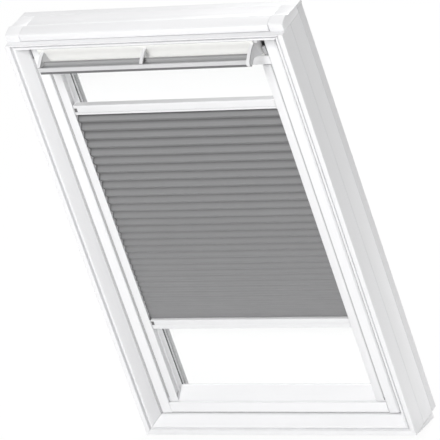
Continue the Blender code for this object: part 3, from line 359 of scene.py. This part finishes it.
def new_piece(name, points, faces, finish, body, sharp_angle=SHARP_ANGLE):
    """Object from arrays of points and faces, which rides on a body."""
    mesh = bpy.data.meshes.new(name)
    mesh.from_pydata(points.reshape(-1, 3).tolist(), [], faces.tolist())
    mesh.materials.append(finish)
    mesh.shade_smooth()
    mesh.set_sharp_from_angle(angle=math.radians(sharp_angle))
    piece = bpy.data.objects.new(name, mesh)
    bpy.context.collection.objects.link(piece)
    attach(piece, body)
    return piece


def face_outwards(mesh, from_solid=False):
    """Turn all faces outwards. A solid's doubles and flat neighbours are merged first."""
    shape = bmesh.new()
    shape.from_mesh(mesh)
    if from_solid:
        bmesh.ops.remove_doubles(shape, verts=shape.verts, dist=MERGE_DISTANCE)
        bmesh.ops.dissolve_limit(
            shape, angle_limit=math.radians(FLAT_ANGLE), verts=shape.verts, edges=shape.edges
        )
    bmesh.ops.recalc_face_normals(shape, faces=shape.faces)
    shape.to_mesh(mesh)
    shape.free()


def paint_sides(mesh, finish, axis=ALONG_X, one_way=False):
    """Second finish on the faces that look along an axis, or only along its positive way."""
    mesh.materials.append(finish)
    for face in mesh.polygons:
        look = face.normal[axis] if one_way else abs(face.normal[axis])
        face.material_index = int(look > SIDE_COSINE)


def eased(piece, edge, from_angle=ARRIS_ANGLE):
    """Give a piece small rounded arrises."""
    bevel = piece.modifiers.new("Eased edges", "BEVEL")
    bevel.width = edge
    bevel.segments = ARRIS_STEPS
    bevel.limit_method = "ANGLE"
    bevel.angle_limit = math.radians(from_angle)
    bevel.use_clamp_overlap = True
    bevel.harden_normals = True


def softened(node, finish, body, edge):
    """Copy of a solid with its arrises eased: merged, flat faces joined, then bevelled."""
    mesh = frame["nodes"][node].data.copy()
    face_outwards(mesh, from_solid=True)
    mesh.materials.clear()
    mesh.materials.append(finish)
    if node in SIDE_FINISHES:
        paint_sides(mesh, *SIDE_FINISHES[node])
    mesh.shade_smooth()
    piece = bpy.data.objects.new(node + "_eased", mesh)
    bpy.context.collection.objects.link(piece)
    eased(piece, edge, SOLID_ARRIS_ANGLE)
    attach(piece, body)
    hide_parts(node)


def curve(first, pull, last, count):
    """Points of the quadratic (1-t)^2 first + 2t(1-t) pull + t^2 last, without the last one."""
    t = np.linspace(0, 1, count, endpoint=False)[:, None]
    first, pull, last = (np.array(point) for point in (first, pull, last))
    return (1 - t) ** 2 * first + 2 * t * (1 - t) * pull + t ** 2 * last


def slab(name, front, back, span, finish, body, side_finish=None):
    """Closed plate between two curves of (inset from the head, depth), thick along X.

    A point of the plate is (1-v) front(u) + v back(u), at either end of the span.
    """
    count = len(front)
    edges = np.stack([front, back], axis=1)
    points = np.stack([
        at(np.full((count, 2), x), edges[..., 1], FRAME_HEIGHT - edges[..., 0]) for x in span
    ])
    index = np.arange(4 * count).reshape(2, count, 2)
    strips = []
    for low, high in ((index[0, :, 0], index[0, :, 1]), (index[1, :, 1], index[1, :, 0]),
                      (index[1, :, 0], index[0, :, 0]), (index[0, :, 1], index[1, :, 1])):
        strips.append(np.stack([low[:-1], high[:-1], high[1:], low[1:]], axis=-1))
    for row in (0, -1):
        strips.append(index[[0, 1, 1, 0], [row] * 4, [0, 0, 1, 1]][None])
    piece = new_piece(name, points, np.concatenate(strips), finish, body)
    face_outwards(piece.data)
    if side_finish:
        paint_sides(piece.data, side_finish)
    return piece


def plate(name, line, thickness, span, finish, body, edge=None):
    """Plate of one thickness behind a line of (inset from the head, depth)."""
    front = np.array(line)
    piece = slab(name, front, front + (0.0, thickness), span, finish, body)
    if edge:
        eased(piece, edge)


def on_side(side, near, far):
    """Span between two distances from the middle, on the left (-1) or the right (1)."""
    return tuple(sorted((side * near, side * far)))


# The flap, the control bar and its arms

FLAP_HALF = 0.303
FLAP_BACK = ((0.0290, 0.0020), (0.0511, 0.0247), (0.0815, 0.0338))
FLAP_LIFT = 0.0006
FLAP_FACE = np.array((
    (0.0292, 0.0018), (0.0360, 0.0034), (0.0420, 0.0062), (0.0480, 0.0088), (0.0540, 0.0108),
    (0.0600, 0.0125), (0.0665, 0.0148), (0.0715, 0.0205), (0.0765, 0.0268), (0.0810, 0.0334),
))
FLAP_POINTS = 28
FLAP_SHARP_ANGLE = 50

ARM_WIDTH = 0.009
ARM_FLANGE = 0.0035
ARM_WEB = 0.0025
ARM_OUTER = 0.303
ARM_LEFT_INNER = -0.286
ARM_EASE = 0.0006

# The arm's curves: head to nose over the bow, nose to chin over the toe, chin to heel over
# the hook. Bow, toe and hook pull the curve and don't lie on it.
ARM_HEAD = (0.0345, 0.0035)
ARM_BOW = (0.0420, -0.0200)
ARM_NOSE = (0.0590, -0.0372)
ARM_TOE = (0.0665, -0.0445)
ARM_CHIN = (0.0722, -0.0388)
ARM_HOOK = (0.0790, -0.0350)
ARM_HEEL = (0.0748, -0.0290)
BOW_POINTS, TOE_POINTS, HEEL_POINTS = 20, 8, 5

# The web stands on the flap from its top to its low end, then turns up under the arm to the
# throat. Where the arm hooks round the bar, it goes on to the hook's tail.
WEB_TOP = 0.0350
WEB_LOW_OUTER = 0.0806
WEB_LOW_MIDDLE = 0.0680
WEB_UNDER = (0.0640, -0.0080)
WEB_THROAT = (0.0611, -0.0260)
HOOK_UNDER = (0.0735, 0.0080)
HOOK_THROAT = (0.0660, -0.0060)
HOOK_BOW = (0.0640, -0.0190)
HOOK_TAIL = (0.0735, -0.0262)
STAND_POINTS, UNDER_POINTS, TAIL_POINTS = 12, 9, 13

# Corners of the bar, each with the finish of the face from it to the next one; the darker
# finishes are painted shade, and the back lip's dark bead is a painted shadow
BAR_SECTION = (
    (0.0538, -0.0100, GRIP_BEAD_SHADOW), (0.0538, -0.0122, GRIP_BEAD_SHADOW),
    (0.0568, -0.0122, GRIP_LIP_SHADE), (0.0612, -0.0122, GRIP_LIP_SHADE), (0.0612, -0.0198, GRIP_FLOOR_SHADE),
    (0.0612, -0.0305, GRIP_METAL), (0.0588, -0.0312, GRIP_METAL), (0.0585, -0.0330, GRIP_METAL),
    (0.0595, -0.0342, GRIP_METAL), (0.0694, -0.0342, GRIP_METAL), (0.0704, -0.0335, GRIP_UNDER_SHADE),
    (0.0706, -0.0298, GRIP_UNDER_SHADE), (0.0790, -0.0296, GRIP_UNDER_SHADE), (0.0795, -0.0285, GRIP_UNDER_SHADE),
    (0.0785, -0.0250, GRIP_METAL), (0.0635, -0.0100, GRIP_METAL),
)
BAR_FINISHES = (GRIP_METAL, GRIP_LIP_SHADE, GRIP_FLOOR_SHADE, GRIP_UNDER_SHADE, GRIP_BEAD_SHADOW)
BAR_END_GAP = 0.0003
BAR_EASE = 0.0004

# Seals beside the flap: side, finish and the inset at which each starts; the right seal's grey
# is painted shade in the gap
SEALS = (("left", -1, CAP_WHITE, 0.0340), ("right", 1, SEAL_SHADE_GREY, 0.0600))
SEAL_NEAR, SEAL_FAR = 0.3036, 0.3130
SEAL_DEPTH = 0.0290
SEAL_FOOT = (0.0830, 0.0320)
SEAL_THICK = 0.0070
SEAL_EASE = 0.0008
STOP_LINE = ((0.0285, 0.0060), (0.0340, 0.0060))
STOP_THICK = 0.0290
STOP_EASE = 0.0006


def on_flap(insets):
    """Points on the face of the flap at insets from the head, joined by straight lines."""
    return np.stack([insets, np.interp(insets, FLAP_FACE[:, 0], FLAP_FACE[:, 1])], axis=-1)


def build_flap_face():
    """Face panel of the flap: flat in the middle, turned back to the flap's foot below.

    It fills the space between its own face line and the flap's quadratic curve.
    """
    top, pull, foot = (np.array(point) for point in FLAP_BACK)
    t = np.linspace(0, 1, FLAP_POINTS)[:, None]
    back = (1 - t) ** 2 * top + 2 * t * (1 - t) * pull + t ** 2 * foot + (0.0, FLAP_LIFT)
    front = on_flap(np.linspace(FLAP_FACE[0, 0], FLAP_FACE[-1, 0], FLAP_POINTS))
    span = (-FLAP_HALF, FLAP_HALF)
    # The panel's end faces get grey painted shade below a white top
    piece = slab("flap_face", front, back, span, FLAP_LACQUER, "flap", CHEEK_SHADE)
    piece.data.set_sharp_from_angle(angle=math.radians(FLAP_SHARP_ANGLE))


def behind(line, distance):
    """Curve moved square to itself, away from the room and the window's head."""
    step = np.gradient(line, axis=0)
    normal = np.stack([-step[:, 1], step[:, 0]], axis=-1)
    return line + distance * normal / np.linalg.norm(normal, axis=1, keepdims=True)


def build_arm(node, span, web_span, web_low, hooks):
    """Arm of the bar: a bowed flange with a thin web behind it that stands on the flap.

    Quadratic curves join its points from head to nose. An arm that hooks round the end of
    the bar goes on to chin and heel. The web lies between this outline and a line that
    follows the flap and then turns up to the arm's throat.
    """
    bow = curve(ARM_HEAD, ARM_BOW, ARM_NOSE, BOW_POINTS)
    toe = curve(ARM_NOSE, ARM_TOE, ARM_CHIN, TOE_POINTS)
    heel = curve(ARM_CHIN, ARM_HOOK, ARM_HEEL, HEEL_POINTS)
    outline = np.concatenate([bow, toe, heel]) if hooks else bow[:-1]
    flange = slab(
        node + "_flange", outline, behind(outline, ARM_FLANGE), span, ARM_EDGE, "flap", ARM_GREY
    )
    stand = on_flap(np.linspace(WEB_TOP, web_low, STAND_POINTS))
    if hooks:
        under = curve(stand[-1], HOOK_UNDER, HOOK_THROAT, UNDER_POINTS)
        tail = curve(HOOK_THROAT, HOOK_BOW, HOOK_TAIL, TAIL_POINTS)
        web_back = np.concatenate([stand[:-1], under, tail])
    else:
        under = curve(stand[-1], WEB_UNDER, WEB_THROAT, UNDER_POINTS)
        web_back = np.concatenate([stand[:-1], under])
    count = min(len(outline), len(web_back))
    web_front = behind(outline, ARM_FLANGE / 2)[:count]
    web = slab(node + "_web", web_front, web_back[:count], web_span, ARM_GREY, "flap")
    for piece in (flange, web):
        eased(piece, ARM_EASE)
        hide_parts(node)


def build_bar():
    """Grip between the arms: a trough with a bead along its back lip and an undercut nose. The
    bead, the lip's front, the trough's floor and the nose's underside carry painted shade.

    The section's corners are carried straight from end to end and closed by two caps.
    """
    insets, depths, finishes = zip(*BAR_SECTION)
    count = len(BAR_SECTION)
    end = ARM_OUTER - ARM_WIDTH - BAR_END_GAP
    points = np.stack([
        at(np.full(count, x), np.array(depths), FRAME_HEIGHT - np.array(insets))
        for x in (-end, end)
    ])
    around = [(i, (i + 1) % count, count + (i + 1) % count, count + i) for i in range(count)]
    caps = [tuple(range(count))[::-1], tuple(range(count, 2 * count))]
    mesh = bpy.data.meshes.new("control_bar_shape")
    mesh.from_pydata(points.reshape(-1, 3).tolist(), [], around + caps)
    for finish in BAR_FINISHES:
        mesh.materials.append(finish)
    for face, finish in zip(mesh.polygons, finishes):
        face.material_index = BAR_FINISHES.index(finish)
    face_outwards(mesh)
    mesh.shade_smooth()
    piece = bpy.data.objects.new("control_bar_shape", mesh)
    bpy.context.collection.objects.link(piece)
    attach(piece, "flap")
    eased(piece, BAR_EASE)
    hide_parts("control_bar")


def build_grip():
    """Bar, three arms, and the seals that close the gap beside the flap's lower half; the right
    seal's grey is painted shade.
    """
    for name, edge, hooks in (("left", ARM_LEFT_INNER, False), ("right", ARM_OUTER, True)):
        span, web_span = (edge - ARM_WIDTH, edge), (edge - ARM_WEB, edge)
        build_arm("bar_arm_" + name, span, web_span, WEB_LOW_OUTER, hooks)
    half = ARM_WIDTH / 2
    build_arm("bar_arm_middle", (-half, half), (-half, ARM_WEB - half), WEB_LOW_MIDDLE, False)
    build_bar()
    build_flap_face()
    for name, side, finish, start in SEALS:
        span = on_side(side, SEAL_NEAR, SEAL_FAR)
        line = ((start, SEAL_DEPTH), SEAL_FOOT)
        plate(
            "end_seal_" + name, line, SEAL_THICK, span, finish, "sash", SEAL_EASE
        )
        plate(
            "stop_seal_" + name, STOP_LINE, STOP_THICK, span, CAP_WHITE, "sash",
            STOP_EASE,
        )


# Painted shade beside the rails, in the gap round the sash and at the bars' ends; near and far
# are distances from the middle

RAIL_SHADE_STRIPS = (("left", -1, RAIL_SHADE_LEFT), ("right", 1, RAIL_SHADE_RIGHT))
RAIL_SHADE_LINE = ((0.0960, 0.0382), (1.0900, 0.0382))
RAIL_SHADE_NEAR, RAIL_SHADE_FAR = 0.3078, 0.3118
RAIL_SHADE_THICK = 0.0018
STRIP_LINE = ((0.0720, 0.0355), (1.1330, 0.0355))
STRIP_NEAR, STRIP_FAR = 0.3440, 0.3482
STRIP_THICK = 0.0030
LOW_STRIP_LINE = ((1.1338, 0.0365), (1.1373, 0.0365))
LOW_STRIP_HALF = 0.3432
# Dark marks of painted shadow at the bars' left ends
BAR_END_SHADOWS = (("top_bar_end_shadow", 0.2255, "top_bar"), ("bottom_bar_end_shadow", 0.8615, "bottom_bar"))
END_SHADOW_RADIUS = 0.0052
END_SHADOW_DEPTH = 0.0370
END_SHADOW_THICK = 0.0008
END_SHADOW_SPAN = (-0.2835, -0.2762)
END_SHADOW_EASE = 0.0003
END_SHADOW_POINTS = 13


def build_trims():
    """Painted shade along the sash and the bars: strips beside the rails, darker on the left
    than on the right, grey strips in the gap round the sash, and dark marks for the shadow at
    the bars' left ends.

    A mark's points lie where a half circle's cosine puts them, closer at its ends.
    """
    # Painted shade strips beside the rails
    for name, side, shade_finish in RAIL_SHADE_STRIPS:
        span = on_side(side, RAIL_SHADE_NEAR, RAIL_SHADE_FAR)
        plate(
            "rail_shade_strip_" + name, RAIL_SHADE_LINE, RAIL_SHADE_THICK, span, shade_finish, "sash",
        )
        # Grey painted shade in the gap round the sash
        span = on_side(side, STRIP_NEAR, STRIP_FAR)
        plate(
            "gap_strip_" + name, STRIP_LINE, STRIP_THICK, span, GAP_SHADE_GREY, "sash",
        )
    span = (-LOW_STRIP_HALF, LOW_STRIP_HALF)
    plate(
        "gap_strip_bottom", LOW_STRIP_LINE, STRIP_THICK, span, GAP_SHADE_GREY, "sash",
    )
    # Painted shadow marks at the bars' left ends
    turn = np.linspace(0, math.pi, END_SHADOW_POINTS)
    for name, middle, body in BAR_END_SHADOWS:
        insets = middle - END_SHADOW_RADIUS * np.cos(turn)
        line = np.stack([insets, np.full(END_SHADOW_POINTS, END_SHADOW_DEPTH)], axis=-1)
        plate(
            name, line, END_SHADOW_THICK, END_SHADOW_SPAN, END_SHADOW_DARK, body, END_SHADOW_EASE
        )


# The blind's cloth; its heights are above the window's foot

PLEAT_TOP = 0.9397
PLEAT_LOW = 0.3268
CLOTH_DEPTH = 0.0475
CLOTH_EDGE = 0.289
CLOTH_THICK = 0.0008
CLOTH_SHARP_ANGLE = 60.0
PLEATS = 31
PLEAT_FACE = 0.0165
PLEAT_TIGHTENING = 0.59
PLEAT_TIGHTENING_POWER = 1.45
PLEAT_FLATTENING = 0.94
PLEAT_FLAT_FROM = 0.93
PLEAT_FLATTENING_POWER = 1.2
CREASE_LEG = 0.0011
CREASE_POINTS = 4
SWAY = 0.00035
SWAY_ACROSS = 7.3
SWAY_DOWN = 31.0
POINTS_ACROSS = 41

# How dark the painted shade in the folds is drawn: what adds to it, and how it fades down the
# run
TURNED_GAIN = 1.6
TURNED_SHARE = 0.42
INWARD_SHARE = 1.05
DARKEST_FOLD = 0.85
FADE_END = 1.02
FADE_LEAST = 0.06
EVEN_SHADE = 0.12


def crease_heights():
    """Heights of the creases and of both ends, spaced more closely towards the bottom.

    The spacing falls from the top spacing as 1 - k u^p, with u the share of the run; its
    integral, scaled to the run, gives the heights.
    """
    steps = 2 * PLEATS
    u = (np.arange(steps + 1) + 0.5) / (steps + 1)
    power = PLEAT_TIGHTENING_POWER + 1
    run = u - PLEAT_TIGHTENING * u ** power / power
    return PLEAT_TOP - (PLEAT_TOP - PLEAT_LOW) * run / (1 - PLEAT_TIGHTENING / power)


def crease_corners():
    """Corners of the zigzag as heights and depths, to either side of the cloth's depth.

    A face of length f that drops by d reaches half of the root of f^2 - d^2 to each side.
    That reach shrinks with a power of the share of the run, since the lower pleats hang
    nearly flat.
    """
    heights = crease_heights()
    drop = np.abs(np.diff(heights, prepend=2 * heights[0] - heights[1]))
    share = (np.arange(len(heights)) + 0.5) / len(heights)
    flat = np.clip(share / PLEAT_FLAT_FROM, 0, 1) ** PLEAT_FLATTENING_POWER
    reach = np.sqrt(PLEAT_FACE ** 2 - drop ** 2) / 2 * (1 - PLEAT_FLATTENING * flat)
    side = np.where(np.arange(len(heights)) % 2 == 0, 1.0, -1.0)
    heights = np.concatenate([[PLEAT_TOP], heights, [PLEAT_LOW]])
    depths = np.concatenate([[CLOTH_DEPTH], CLOTH_DEPTH + side * reach, [CLOTH_DEPTH]])
    return heights, depths


def rounded(corner):
    """Zigzag with its corners rounded, and with the middle of each face.

    A corner becomes points on the parabola tip + (1-t)^2 a + t^2 b, where a and b are
    short legs towards the corners before and after it.
    """
    tip = corner[1:-1]
    to_before = corner[:-2] - tip
    to_after = corner[2:] - tip
    to_before *= CREASE_LEG / np.linalg.norm(to_before, axis=1, keepdims=True)
    to_after *= CREASE_LEG / np.linalg.norm(to_after, axis=1, keepdims=True)
    t = np.linspace(0, 1, CREASE_POINTS)[None, :, None]
    bends = tip[:, None] + (1 - t) ** 2 * to_before[:, None] + t ** 2 * to_after[:, None]
    middle = (corner[:-1] + corner[1:]) / 2
    between = [
        np.concatenate([bend, after[None]]) for bend, after in zip(bends, middle[1:])
    ]
    return np.concatenate([corner[:1], middle[:1], *between, corner[-1:]])


def fold_shade(path, step):
    """How much painted shade each point of the path gets, from 0 to 1, by how deep in a fold it
    lies.

    Faces that lead to the glass as they fall and points behind the middle of the cloth
    add up. The sum fades down the run, where the pleats hang nearly flat and an even
    painted shade takes its place.
    """
    turned = np.clip(TURNED_GAIN * step[:, 1] / np.linalg.norm(step, axis=1), 0, 1)
    inward = np.clip((path[:, 1] - CLOTH_DEPTH) / (PLEAT_FACE / 2), 0, 1)
    shade = np.clip(TURNED_SHARE * turned + INWARD_SHARE * inward, 0, DARKEST_FOLD)
    fallen = (PLEAT_TOP - path[:, 0]) / (PLEAT_TOP - PLEAT_LOW)
    return shade * np.clip(FADE_END - fallen, FADE_LEAST, 1) + EVEN_SHADE * fallen


def cloth_strip(name, heights, depths, run_start):
    """Closed strip of cloth along a zigzag; its Run map holds metres across and along.

    Both sides are the rounded zigzag offset by half a thickness. A slow sine across the
    width, faded to the edges by a cosine, lets each face bow by a few tenths of a
    millimetre.
    """
    path = rounded(np.stack([heights, depths], axis=-1))
    step = np.gradient(path, axis=0)
    normal = np.stack([-step[:, 1], step[:, 0]], axis=-1)
    normal /= np.linalg.norm(normal, axis=1, keepdims=True)
    length = np.linalg.norm(np.diff(path, axis=0), axis=1)
    run = run_start + np.concatenate([[0], np.cumsum(length)])
    u = np.linspace(-1, 1, POINTS_ACROSS)[None, :]
    sway = SWAY * np.sin(u * SWAY_ACROSS + path[:, :1] * SWAY_DOWN) * np.cos(u * np.pi / 2)
    sides = []
    for sign in (1, -1):
        line = path + sign * CLOTH_THICK / 2 * normal
        sides.append(at(u * CLOTH_EDGE, line[:, 1:2] + sway, line[:, :1]))
    points = np.stack(sides)
    grid = points.shape[:3]
    index = np.arange(points.size // 3).reshape(grid)
    faces = []
    for layer, order in ((index[0], 1), (index[1], -1)):
        quad = np.stack([
            layer[:-1, :-1], layer[:-1, 1:], layer[1:, 1:], layer[1:, :-1]
        ], axis=-1).reshape(-1, 4)
        faces.append(quad[:, ::order])
    rim = np.concatenate([
        index[0, 0, :], index[0, 1:, -1], index[0, -1, -2::-1], index[0, -2:0:-1, 0]
    ])
    back = rim + index[1, 0, 0]
    faces.append(np.stack([rim, back, np.roll(back, -1), np.roll(rim, -1)], axis=-1))
    piece = new_piece(name, points, np.concatenate(faces), CLOTH, "sash", CLOTH_SHARP_ANGLE)
    mesh = piece.data
    face_outwards(mesh)

    loops = np.empty(len(mesh.loops), dtype=np.int32)
    mesh.loops.foreach_get("vertex_index", loops)
    place = np.stack([
        np.broadcast_to(u[None] * CLOTH_EDGE, grid), np.broadcast_to(run[None, :, None], grid)
    ], axis=-1).reshape(-1, 2)
    mesh.uv_layers.new(name="Run").data.foreach_set("uv", place[loops].ravel())
    # Painted shade in the folds, stored per point as the FoldShade attribute
    shade = np.broadcast_to(fold_shade(path, step)[None, :, None], grid)
    fold = mesh.attributes.new("FoldShade", "FLOAT", "POINT")
    fold.data.foreach_set("value", shade.ravel())
    return piece, run[-1]


def unsmooth(share):
    """Where a smooth step reaches a share: solves 3 t^2 - 2 t^3 = share."""
    return 0.5 - np.sin(np.arcsin(1 - 2 * share) / 3)


def build_cloth():
    """The pleated cloth, in strips cut at fixed creases.

    For each strip the code works out the top or bottom bar by its half of the cloth, the
    shares of its ends' heights between that bar and the middle of the cloth, and a smooth
    step stretched to meet both ends at those shares. None of this is applied: each strip is
    taken off its body and stays where it is drawn.
    """
    heights, depths = crease_corners()
    last = len(heights) - 1
    middle = len(heights) // 2
    cuts = [0, 3, 5, middle - 4, middle - 2, middle, middle + 2, middle + 4, last - 5,
            last - 3, last]
    run = 0.0
    for number, (start, stop) in enumerate(zip(cuts, cuts[1:]), 1):
        part = slice(start, stop + 1)
        piece, run = cloth_strip("cloth_strip_%d" % number, heights[part], depths[part], run)
        body, moving = ("top_bar", PLEAT_TOP) if stop <= middle else ("bottom_bar", PLEAT_LOW)
        share = (heights[[start, stop]] - moving) / (heights[middle] - moving)
        t = unsmooth(np.clip(share, 0, 1))
        scale = (heights[stop] - heights[start]) / (t[1] - t[0])
        zero = heights[start] - t[0] * scale
        piece.parent = None
        at(0, CLOTH_DEPTH, zero).tolist()
        at(0, CLOTH_DEPTH, zero + scale).tolist()
        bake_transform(piece)
        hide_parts("pleated_fabric")


# The solids: finish and width of the eased arrises of each hard piece

HARD_PIECES = (
    (LACQUER_ACROSS, 0.0008, ("frame_head", "frame_sill")),
    (LACQUER_UP, 0.0008, ("frame_jamb_left", "frame_jamb_right")),
    (LACQUER_ACROSS, 0.0012, ("head_capping", "head_corner_left", "head_corner_right")),
    (LACQUER_ACROSS, 0.0006, ("sill_wedge",)),
    (LACQUER_ACROSS, 0.0007, ("sash_top_rail", "sash_bottom_rail")),
    (LACQUER_UP, 0.0007, ("sash_stile_left", "sash_stile_right")),
    (COVER_WHITE, 0.0004, ("cover_head", "cover_sill", "cover_jamb_left", "cover_jamb_right")),
    (COVER_GREY, 0.0004, ("sash_cover_left", "sash_cover_right", "sash_cover_top",
                          "sash_cover_bottom")),
    (ZINC, 0.0004, ("pivot_socket_left", "pivot_socket_right", "pivot_pin_left",
                    "pivot_pin_right")),
    (ZINC, 0.0003, ("lock_striker",)),
    (ZINC, 0.0006, ("latch_bolt",)),
    (CAP_WHITE, 0.0008, ("lock_case",)),
    (FLAP_LACQUER, 0.0005, ("vent_flap",)),
    (RAIL_COAT, 0.0003, ("blind_rail_left", "blind_rail_right")),
    (CAP_WHITE, 0.0004, ("rail_foot_left", "rail_foot_right", "rail_cap_left",
                         "rail_cap_right")),
    (BAR_COAT, 0.0003, ("blind_top_bar", "blind_bottom_bar")),
    (CAP_WHITE, 0.0004, ("glider_top_left", "glider_top_right", "glider_bottom_left",
                         "glider_bottom_right")),
)
SIDE_FINISHES = {
    # The flap's end faces get grey painted shade below a white top
    "vent_flap": (CHEEK_SHADE, ALONG_X, False),
    # The top bar's upward faces get grey painted shade
    "blind_top_bar": (BAR_TOP_SHADE, ALONG_Z, True),
}
KEPT_SOLIDS = (
    (RUBBER, ("flap_seal", "gasket_left", "gasket_right", "gasket_bottom", "gasket_top")),
    (SPACER, ("spacer_left", "spacer_right", "spacer_bottom", "spacer_top")),
    (GLASS, ("glass_inner", "glass_outer")),
    (CORD_WHITE, ("rail_cord_left", "rail_cord_right")),
)


def dress_solids():
    """Eased copies of the hard pieces, and finishes on the solids that stay."""
    bodies = frame["record"]["behaviour"]["bodies"]
    body_of = {node: body for body, nodes in bodies.items() for node in nodes}
    for finish, edge, nodes in HARD_PIECES:
        for node in nodes:
            softened(node, finish, body_of[node], edge)
    for finish, nodes in KEPT_SOLIDS:
        for node in nodes:
            mesh = frame["nodes"][node].data
            mesh.materials.clear()
            mesh.materials.append(finish)


# Camera, light and surroundings

CAMERA_AZIMUTH = math.radians(34.859)
CAMERA_ELEVATION = math.radians(28.138)
CAMERA_ROLL = math.radians(-19.313)
CAMERA_DISTANCE = 12.8304
CAMERA_TARGET = (0, 0.040 - ORIGIN_DEPTH, 0.600 - ORIGIN_HEIGHT)
FRAME_PIXELS = 440
FOCAL_PIXELS = 5201.86
SHIFT_PIXELS = (3.40, 7.74)
SENSOR_WIDTH = 36.0
LENS_REACH = 100.0

# Name, place, width and power in watts; every lamp looks at the origin
LAMPS = (
    ("Key", (0.3, -6.5, 6.5), 5.0, 600.0),
    ("Front", (0.0, -8.0, 1.0), 5.0, 72.0),
    ("Back", (0.5, 5.5, 3.0), 5.0, 345.0),
    ("Reveal", (0.12, 1.7, 0.5), 0.3, 22.0),
)

WHITE = (1, 1, 1, 1)
WORLD_ON_OBJECT = 0.30
WORLD_SEEN = 1.0
FLOOR_DROP = 0.001
FLOOR_REACH = 30.0
FLOOR_PALE = (0.82, 0.82, 0.82)
FLOOR_SEEN_WHITE = 0.95


def camera_and_light():
    """Camera of the photograph and plain soft studio lamps.

    The view direction comes from azimuth and elevation, and the level and upright
    directions are turned about it by the roll.
    """
    forward = Vector((
        -math.sin(CAMERA_AZIMUTH) * math.cos(CAMERA_ELEVATION),
        math.cos(CAMERA_AZIMUTH) * math.cos(CAMERA_ELEVATION),
        -math.sin(CAMERA_ELEVATION),
    ))
    level = Vector((math.cos(CAMERA_AZIMUTH), math.sin(CAMERA_AZIMUTH), 0))
    up = level.cross(forward)
    right = math.cos(CAMERA_ROLL) * level + math.sin(CAMERA_ROLL) * up
    top = -math.sin(CAMERA_ROLL) * level + math.cos(CAMERA_ROLL) * up
    lens = bpy.data.cameras.new("Camera")
    lens.sensor_width = SENSOR_WIDTH
    lens.lens = FOCAL_PIXELS / FRAME_PIXELS * SENSOR_WIDTH
    lens.shift_x = SHIFT_PIXELS[0] / FRAME_PIXELS
    lens.shift_y = SHIFT_PIXELS[1] / FRAME_PIXELS
    lens.clip_end = LENS_REACH
    camera = bpy.data.objects.new("Camera", lens)
    turn = Matrix((right, top, -forward)).transposed().to_4x4()
    place = Vector(CAMERA_TARGET) - CAMERA_DISTANCE * forward
    camera.matrix_world = Matrix.Translation(place) @ turn
    bpy.context.collection.objects.link(camera)
    bpy.context.scene.camera = camera

    for name, spot, size, power in LAMPS:
        lamp = bpy.data.lights.new(name, "AREA")
        lamp.shape = "DISK"
        lamp.size = size
        lamp.energy = power
        holder = bpy.data.objects.new(name, lamp)
        holder.location = spot
        holder.rotation_euler = (-Vector(spot)).to_track_quat("-Z", "Y").to_euler()
        bpy.context.collection.objects.link(holder)


def white_world():
    """World that is white where it is seen or seen through, and fainter as a light."""
    world = bpy.data.worlds.new("Studio")
    world.use_nodes = True
    bpy.context.scene.world = world
    tree = world.node_tree
    background = tree.nodes["Background"]
    background.inputs["Color"].default_value = WHITE
    path = tree.nodes.new("ShaderNodeLightPath")
    seen = tree.nodes.new("ShaderNodeMath")
    seen.operation = "MAXIMUM"
    tree.links.new(path.outputs["Is Camera Ray"], seen.inputs[0])
    tree.links.new(path.outputs["Is Transmission Ray"], seen.inputs[1])
    level = tree.nodes.new("ShaderNodeMapRange")
    level.inputs["To Min"].default_value = WORLD_ON_OBJECT
    level.inputs["To Max"].default_value = WORLD_SEEN
    tree.links.new(seen.outputs[0], level.inputs["Value"])
    tree.links.new(level.outputs["Result"], background.inputs["Strength"])


def pale_floor():
    """Floor under the object: pale for its light and shadow, nearly white where it is seen."""
    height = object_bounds()[0][2] - FLOOR_DROP
    mesh = bpy.data.meshes.new("Floor")
    turns = ((-1, -1), (1, -1), (1, 1), (-1, 1))
    corners = [(x * FLOOR_REACH, y * FLOOR_REACH, height) for x, y in turns]
    mesh.from_pydata(corners, [], [(0, 1, 2, 3)])
    floor = bpy.data.objects.new("Floor", mesh)
    bpy.context.collection.objects.link(floor)
    finish = Finish("Floor", 0.9)
    finish.paint(FLOOR_PALE)
    rays = finish.node("ShaderNodeLightPath").socket.node
    camera_ray = Wire(finish, rays.outputs["Is Camera Ray"])
    clear_ray = Wire(finish, rays.outputs["Is Transmission Ray"])
    share = finish.limit(camera_ray + clear_ray, 0.0, 1.0) * FLOOR_SEEN_WHITE
    glow = finish.node("ShaderNodeEmission", None, {"Color": WHITE, "Strength": 1.0})
    mix = finish.node("ShaderNodeMixShader", None, {
        0: share, 1: Wire(finish, finish.shader.outputs[0]), 2: glow,
    })
    finish.feed(finish.tree.nodes["Material Output"].inputs["Surface"], mix)
    mesh.materials.append(finish.material)


scene = bpy.context.scene
scene.view_settings.view_transform = "Standard"
camera_and_light()
dress_solids()
build_grip()
build_trims()
build_cloth()
white_world()
pale_floor()
